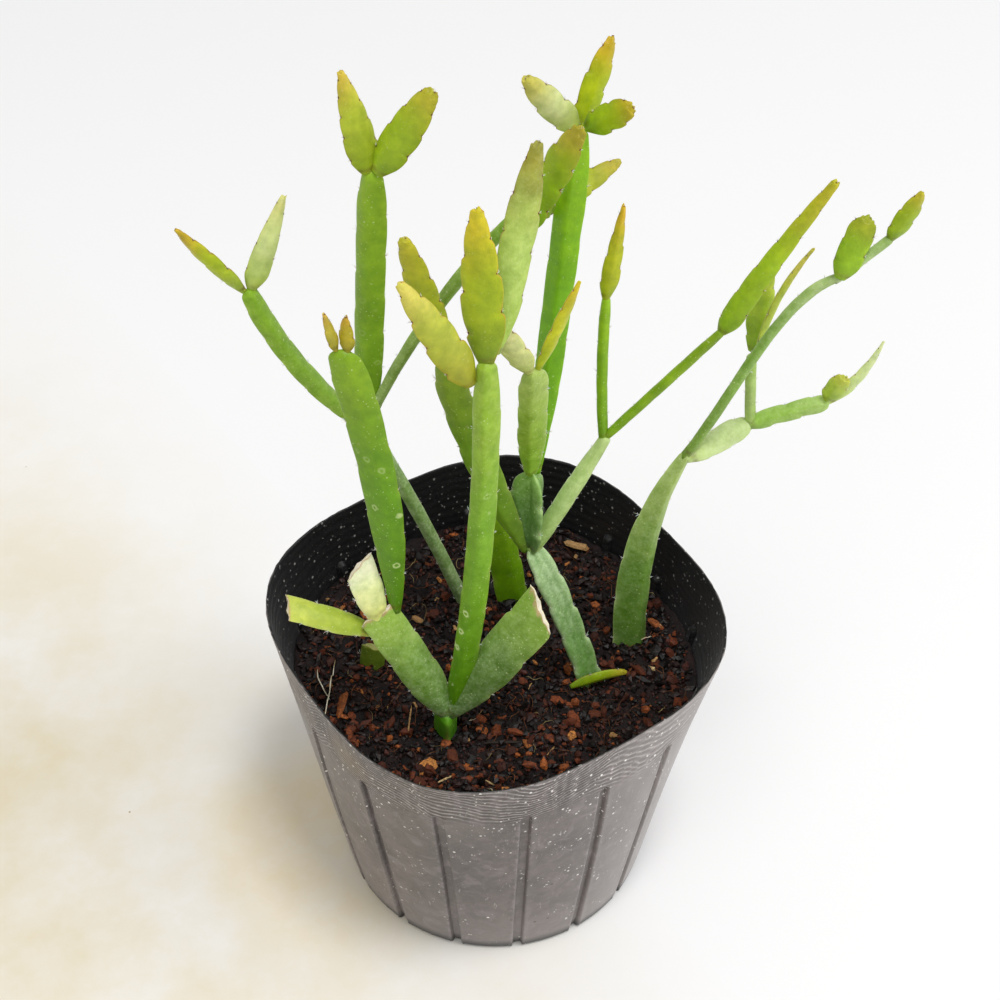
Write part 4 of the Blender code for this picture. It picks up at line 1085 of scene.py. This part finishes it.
# The thin cutting that leans left: a grey-green foot that forks into an upright flat, an arm out to the left
# and a thin arm that crosses behind to the right. The pads in front of the tallest stem grow on that arm.
foot = rooted("left", (-17.6, -1.5, 52.4), 2.9, 2.5, notches=6, neck=0.9, tip=0.7, bow=(1.2, 0, 0),
              notch=0.05, sides=24, bloom=(0.7, 0.6), skin=("527432", "729440", "82A840"), edge="B0C090")
upright = from_tip(foot, (4.2, -4, 61), 5.7, 3.0, notches=7, neck=0.35, tip=0.6, rise=0.35, turn=-12,
                   skin=("7CA61E", "86AE1E", "98BC26"), edge="A8C648", rings=0.3, ridge=0.5, skew=-0.3)
left_arm = from_tip(foot, (-19.5, -4, 36), 4.1, 3.0, notches=6, neck=0.45, tip=0.75, rise=0.5,
                    bow=(-2, 0, -1.6), turn=20, notch=0.09, bloom=(0.3, 0.05),
                    skin=("96B832", "88B01C", "8CB41C"), edge="BCD070", ridge=0.6)
right_arm = from_tip(foot, (28.2, -10, 55.6), 2.8, 2.3, notches=7, neck=0.7, tip=0.75, rise=1.0,
                     bow=(-2.2, 0, 0.8), turn=25, sides=24, bloom=(0.5, 0.2), ridge=0.6,
                     skin=("8AA848", "8CAA34", "82AC14"), edge="BCCC84")
plant("left_stem", (foot, upright, left_arm, right_arm), {
    "left_pad_top_left": pad_on(upright, (-3.6, 0.5, 18.6), 5.8, tip=0.2, rise=0.25, fall=0.75, turn=15, notches=5,
                                notch=0.12, aside=(-0.8, 0, 0), skin=("A0B61E", "BCC836", "D6BC46"),
                                edge="A47038"),
    "left_pad_top_right": pad_on(upright, (9.9, -2, 16.6), 6.4, rise=0.3, tip=0.4, fall=0.55, turn=-8,
                                 notch=0.12, aside=(0.9, -0.6, 0.2), skin=("9AB61A", "A8C01E", "C2BA30"),
                                 edge="966530"),
    "left_pad_outer": pad_on(left_arm, (-9.8, -2, 14.3), 4.2, turn=-45, tip=0.2, aside=(-0.9, 0, 0),
                             skin=("AEC44A", "BCCC1E", "D4B02C"), edge="A2602C"),
    "left_pad_pale": pad_on(left_arm, (7, 2, 18.2), 4.4, rise=0.18, tip=0.2, fall=0.8, turn=25, notch=0.06,
                            aside=(0.9, 0.5, 0.2), skin=("C0D264", "DCE69A", "E4E092"), edge="B8A860"),
    "inner_pad_front": pad_on(right_arm, (9.6, -4, 22.4), 5.8, rise=0.2, tip=0.4, fall=0.4, turn=-15,
                              notches=5, aside=(0.9, -1.4, -1.6), skin=("7EAC0A", "9CBE08", "B8A82E"),
                              edge="A0703A"),
    "inner_pad_back": pad_on(right_arm, (18.0, 15.2, 1.0), 4.8, rise=0.15, tip=0.3, turn=10,
                             bow=(0, 1.2, -1.8), notches=5, aside=(0.7, 1.0, -0.3),
                             skin=("8EAE0C", "AAC018", "BEB038"), edge="94662E"),
})

# The cutting at the right: a broad, dark flat with one pale side, a long thin arm that arches out, and a pale
# arm that forks. This side of the plant is the palest, and its small pads are yellow-green.
foot = rooted("right", (7.0, 3.2, 50.7), 7.2, 3.4, notches=6, neck=0.95, tip=0.3, fall=0.6, turn=10, notch=0.06,
              bow=(-4.4, 0, 0), late=1.5, bloom=(0.15, 0.4), ridge=0.8, skew=0.45,
              skin=("4E7C0E", "66901E", "AEC464"), edge="D4E4A0")
arched = from_tip(foot, (24.0, 0, 41.6), 2.0, 1.6, notches=7, neck=0.9, tip=0.8, bow=(-0.9, 0, 4.8), late=2.0,
                  sides=20, bloom=(0.2, 0.5), ridge=0.5, skin=("7CA022", "86AE34", "B2C87C"), edge="C0D29A")
arch_end = from_tip(arched, (8, 0, 8.5), 1.8, 1.5, notches=2, neck=0.8, tip=0.9, sides=20, bloom=(0.5, 0.3),
                    skin=("BACC90", "B0CA7E", "A4C068"), edge="CCD8A8")
pale_flat = from_tip(foot, (12.0, 6, 3.2), 5.0, 2.2, notches=3, neck=0.45, tip=0.55, rise=0.4, fall=0.3,
                     notch=0.12, aside=(0.6, 0.4, -1.0), bloom=(0.5, 0.5), skin=("C0D478", "D0E096", "CADC90"),
                     edge="E4ECC4")
fork_up = from_tip(pale_flat, (-1.4, 0, 17), 2.2, 1.8, notches=3, neck=0.8, tip=0.7, sides=20,
                   skin=("AAC86A", "B8D07C", "A6C65C"), edge="CCDCA0")
fork_out = from_tip(pale_flat, (14.8, 0, 5.5), 3.8, 2.2, notches=3, neck=0.6, tip=0.6, notch=0.2, turn=12,
                    bloom=(0.2, 0.4), skin=("98C244", "A2C84C", "B2D266"), edge="D0E2A0", ridge=0.6)
plant("right_stem", (foot, arched, arch_end, pale_flat, fork_up, fork_out), {
    "right_pad_oval": pad_on(arched, (3.6, 2.0, 11.2), 5.0, rise=0.3, tip=0.45, fall=0.3, turn=-10, notches=3,
                             notch=0.1, aside=(-0.1, -1.3, 1.2), skin=("94BA26", "A2C426", "ACB22C"),
                             edge="8A7A30"),
    "right_pad_end": pad_on(arch_end, (3.25, -2, 10.6), 3.8, tip=0.25, notches=3, turn=15,
                            skin=("96B41C", "AAC212", "C0B42C"), edge="90702C"),
    "fork_pad_flat": pad_on(fork_up, (1.5, 2, 20), 4.8, rise=0.3, tip=0.2, fall=0.7, turn=-15, notches=5,
                            aside=(0.5, 0.9, 0.5), skin=("A2C23A", "ACC438", "C0C24E"), edge="B4B45C"),
    "fork_pad_thin": pad_on(fork_up, (7.2, -3.5, 27.2), 2.6, 1.3, turn=55, tip=0.2, bow=(-1.4, 0, 1.0),
                            notches=5, aside=(0.9, -0.9, 0), skin=("B4CC3E", "C8D444", "D4C858"),
                            edge="B4A450"),
    "low_pad_oval": pad_on(fork_out, (2.2, -1.6, 6.8), 4.0, tip=0.5, fall=0.4, notches=2, notch=0.1,
                           aside=(-0.6, -0.6, 1.1), skin=("A8C636", "C0D650", "C6C850"), edge="B8A04C"),
    "low_pad_pointed": pad_on(fork_out, (8.2, 0.6, 13.9), 3.0, 1.3, rise=0.3, tip=0.15, fall=0.8, turn=30,
                              bow=(1.0, 0, -0.6), aside=(0.2, 0.2, -0.2), skin=("C8DA74", "E0ECA8", "E8EEB8"),
                              edge="D8D8A4"),
})

# Two short pieces: a flat stem behind the tall central one, and a stub stuck in behind the cut-back flats.
plant("back_flat_stem", (rooted("back", (-4.5, -0.3, 29.4), 7.0, 2.8, notches=5, neck=0.7, tip=0.45,
                                fall=0.35, turn=12, rings=0.3, ridge=0.5, skew=0.3,
                                skin=("5A8A0C", "78A80E", "8EB820"), edge="A8B854"),), {})
plant("cut_stub", (rooted("stub", (0.6, -0.6, 7.0), 5.2, 2.6, notches=3, neck=0.8, tip=0.9, turn=-10,
                          cut=True, skin=("4E6A10", "66821A", "80962E"), edge="8A9A48",
                          wound=("7C7A34", "9C9C58")),), {})

# Areoles: a small dry cushion in each notch of a margin and at each young tip, brown on the pads and paler on
# old stems, with a tuft of short white wool and fine bristles.
HAIRS_PER_AREOLE = 6
HAIR_THICKNESS = 0.05
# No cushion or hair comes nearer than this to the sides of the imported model's box.
BOX_MARGIN = 0.3 * MM
random.seed(11)


def inside_box(spot):
    """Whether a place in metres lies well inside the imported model's box."""
    low, high = cad_box
    return all(low[i] + BOX_MARGIN < spot[i] < high[i] - BOX_MARGIN for i in range(3))


def areoles():
    """Every areole's place, outward direction, direction of growth and size, and whether it is on a pad."""
    for joint, young in every_joint:
        size = min(1.0, 0.55 + joint.width / 14)
        for wing in range(joint.wings):
            angle = 2 * math.pi * wing / joint.wings
            for k in range(1, joint.notches + 1):
                along = ((k - wing / joint.wings) / joint.notches) ** (1 / joint.crowd)
                spot = joint.point(along, angle) if 0.06 < along < (0.9 if joint.cut else 0.985) else None
                if spot is not None and spot.z > SOIL_TOP + 2 and inside_box(spot * MM):
                    across, back, growth = joint.directions(along)
                    outward = across * math.cos(angle) + back * math.sin(angle)
                    yield spot, outward, growth, size, young
        spot = joint.point(0.995, 0.0, 0.3)
        if young and inside_box(spot * MM):
            across, back, growth = joint.directions(1.0)
            yield spot, (growth + across * 0.3).normalized(), -across, size, young


def cushions(places):
    """Flattened balls of felt, half sunk in the skin, and whether each is an old one."""
    bm = bmesh.new()
    bmesh.ops.create_icosphere(bm, subdivisions=1, radius=1)
    shades = []
    for verts, (spot, outward, growth, size, young) in zip(repeated(bm, len(places)), places):
        side = outward.cross(growth)
        for v in verts:
            x, y, z = v.co * size * (1.0 if young else 0.7)
            v.co = (spot + outward * (x * 0.12 - 0.06) + growth * (y * 0.3) + side * (z * 0.24)) * MM
            shades.append(0.0 if young else 1.0)
    return bm, shades


def wool(places):
    """Short tapering hairs that spread from each cushion and lean the way the joint grows. A few grow long."""
    bm = bmesh.new()
    bmesh.ops.create_cone(bm, cap_ends=True, segments=3, radius1=1, radius2=0.25, depth=1,
                          matrix=Matrix.Translation((0, 0, 0.5)))
    hairs = []
    for spot, outward, growth, size, young in places:
        most = random.choice((0.45, 0.6, 0.6, 0.9)) if young else random.choice((0.5, 0.7, 0.9, 1.3))
        for _ in range(random.randint(2, HAIRS_PER_AREOLE)):
            aim = outward * 0.6 + growth * random.uniform(0.0, 1.2)
            aim = (aim + outward.cross(growth) * random.uniform(-0.8, 0.8)).normalized()
            length = random.uniform(0.5, 1.0) * most * size
            root = spot + growth * random.uniform(-0.15, 0.15) * size
            if inside_box((root + aim * (length + 0.1)) * MM):
                hairs.append((root, aim, length, HAIR_THICKNESS * size))
    for verts, (root, aim, length, thick) in zip(repeated(bm, len(hairs)), hairs):
        side = aim.orthogonal().normalized()
        other = aim.cross(side)
        for v in verts:
            x, y, z = v.co
            v.co = (root + (side * x + other * y) * thick + aim * z * length) * MM
    return bm


def dry_cushion():
    """The areole's felt: dry and matt, brown where it is new and bleached where it is old."""
    cushion, where = bare_material("dry_areole_felt")
    age = add(cushion, "Attribute", output="Fac", attribute_name="shade")
    fine = add(cushion, "TexNoise", {"Vector": where, "Scale": 1 / (0.3 * MM)}, "Fac")
    new = add(cushion, "Mix", {0: fine, 6: paint("3E2410"), 7: paint("8A5426")}, 2, data_type="RGBA")
    old = add(cushion, "Mix", {0: fine, 6: paint("A49A5C"), 7: paint("DAD6B0")}, 2, data_type="RGBA")
    colour = add(cushion, "Mix", {0: age, 6: new, 7: old}, 2, data_type="RGBA")
    shader = add(cushion, "BsdfPrincipled", {"Base Color": colour, "Roughness": 0.8, "IOR": 1.4})
    add(cushion, "OutputMaterial", {"Surface": shader})
    return cushion


def white_wool():
    """Plant wool: fine hairs that look white and let some light through."""
    hair, where = bare_material("white_areole_wool")
    fine = add(hair, "TexNoise", {"Vector": where, "Scale": 1 / (0.6 * MM)}, "Fac")
    colour = add(hair, "Mix", {0: fine, 6: paint("F2EEDC"), 7: paint("FFFFFA")}, 2, data_type="RGBA")
    shader = add(hair, "BsdfPrincipled", {"Base Color": colour, "Roughness": 0.6, "IOR": 1.4,
                                          "Subsurface Weight": 0.3, "Subsurface Scale": 0.0003})
    add(hair, "OutputMaterial", {"Surface": shader})
    return hair


places = list(areoles())
bm, shades = cushions(places)
felt = mesh_object("areole_cushions", bm)
store(felt, "shade", shades)
dress(felt, dry_cushion(), "front_stem_skin")
dress(mesh_object("areole_wool", wool(places)), white_wool(), "front_stem_skin")

# The floor: a painted white board, lit almost to paper white. It is a little warm, and stained towards the left,
# where pots have stood and dripped; that is partly painted shade, and a warm painted shadow lies by the pot.
BOARD_HALF = 3.0


def painted_board():
    """Old white paint: matt. Towards the left, near the pot, it has faint yellow stains that are partly painted
    shade, a warm painted shadow and a few specks of dirt.
    """
    board, where = bare_material("painted_white_board")
    blotches = add(board, "TexNoise", {"Vector": where, "Scale": 1 / (50 * MM), "Detail": 7, "Roughness": 0.65},
                 "Fac")
    # Yellower towards the left and near the pot: partly real stains, partly painted shade where the light falls
    # off.
    aside = add(board, "VectorMath", {0: where, 1: (-1.0, -0.7, 0.0)}, "Value", operation="DOT_PRODUCT")
    aside = add(board, "MapRange", {"Value": aside, "From Min": -0.02, "From Max": 0.09})
    blotches = add(board, "MapRange", {"Value": blotches, "From Min": 0.35, "From Max": 0.62, "To Min": 0.35})
    away = add(board, "VectorMath", {0: where}, "Value", operation="LENGTH")
    away = add(board, "MapRange", {"Value": away, "From Min": 0.34, "From Max": 0.14})
    aside = add(board, "Math", {0: aside, 1: away}, operation="MULTIPLY")
    stain_and_shade = add(board, "Math", {0: blotches, 1: aside}, operation="MULTIPLY")
    colour = add(board, "Mix", {0: stain_and_shade, 6: paint("F0F0F0"), 7: paint("E2D7BC")}, 2, data_type="RGBA")
    # A painted shadow: a warm, darker patch on the floor at the left of the pot's foot, where its shadow falls.
    mark = add(board, "VectorMath", {0: where, 1: Vector((-36, -6, 0)) * MM}, "Value", operation="DISTANCE")
    mark = add(board, "MapRange", {"Value": mark, "From Min": 0.035, "From Max": 0.012, "To Max": 0.7})
    mark = add(board, "Math", {0: mark, 1: blotches}, operation="MULTIPLY")
    colour = add(board, "Mix", {0: mark, 6: colour, 7: paint("E8D096")}, 2, data_type="RGBA")
    dirt = dots(board, where, 14, 0.3, aside)
    colour = add(board, "Mix", {0: dirt, 6: colour, 7: paint("A88F66")}, 2, data_type="RGBA")
    shader = add(board, "BsdfPrincipled", {"Base Color": colour, "Roughness": 0.7, "IOR": 1.45})
    add(board, "OutputMaterial", {"Surface": shader})
    return board


bm = bmesh.new()
bmesh.ops.create_grid(bm, x_segments=1, y_segments=1, size=BOARD_HALF)
floor = mesh_object("white_board", bm)
floor.data.materials.append(painted_board())

# Studio light: a soft key high at the front right, weak fills from the right and the front left, and a white
# room. Each lamp's place and size are in metres, and it is aimed just above the rim of the pot.
ROOM_STRENGTH = 0.49
AIM = Vector((0, 0, 0.08))
world = bpy.data.worlds.new("white_room")
world.use_nodes = True
room = world.node_tree.nodes["Background"].inputs
room["Color"].default_value, room["Strength"].default_value = paint("FFFFFF"), ROOM_STRENGTH
bpy.context.scene.world = world
for name, place, size, power in (("high_softbox", (0.34, -0.45, 2.2), 0.5, 22.0),
                                 ("right_fill", (1.8, -0.3, 0.75), 1.2, 14.0),
                                 ("front_fill", (-0.5, -1.3, 2.1), 1.4, 11.0)):
    lamp = bpy.data.lights.new(name, "AREA")
    lamp.size, lamp.energy = size, power
    light = bpy.data.objects.new(name, lamp)
    light.location = place
    light.rotation_euler = (AIM - Vector(place)).to_track_quat("-Z", "Y").to_euler()
    bpy.context.scene.collection.objects.link(light)
bpy.context.scene.view_settings.view_transform = "Standard"

# The camera: held close above the front of the pot, looking down on it at about 43 degrees. Its place is in
# metres, its pitch and yaw in degrees.
CAMERA_PLACE = (0.0, -0.250, 0.338)
CAMERA_PITCH = 43.35
CAMERA_YAW = -0.25
camera_data = bpy.data.cameras.new("camera")
camera_data.lens, camera_data.sensor_width = 64.8, 36
camera = bpy.data.objects.new("camera", camera_data)
camera.location = CAMERA_PLACE
camera.rotation_euler = (math.radians(90 - CAMERA_PITCH), 0, math.radians(CAMERA_YAW))
bpy.context.scene.collection.objects.link(camera)
bpy.context.scene.camera = camera
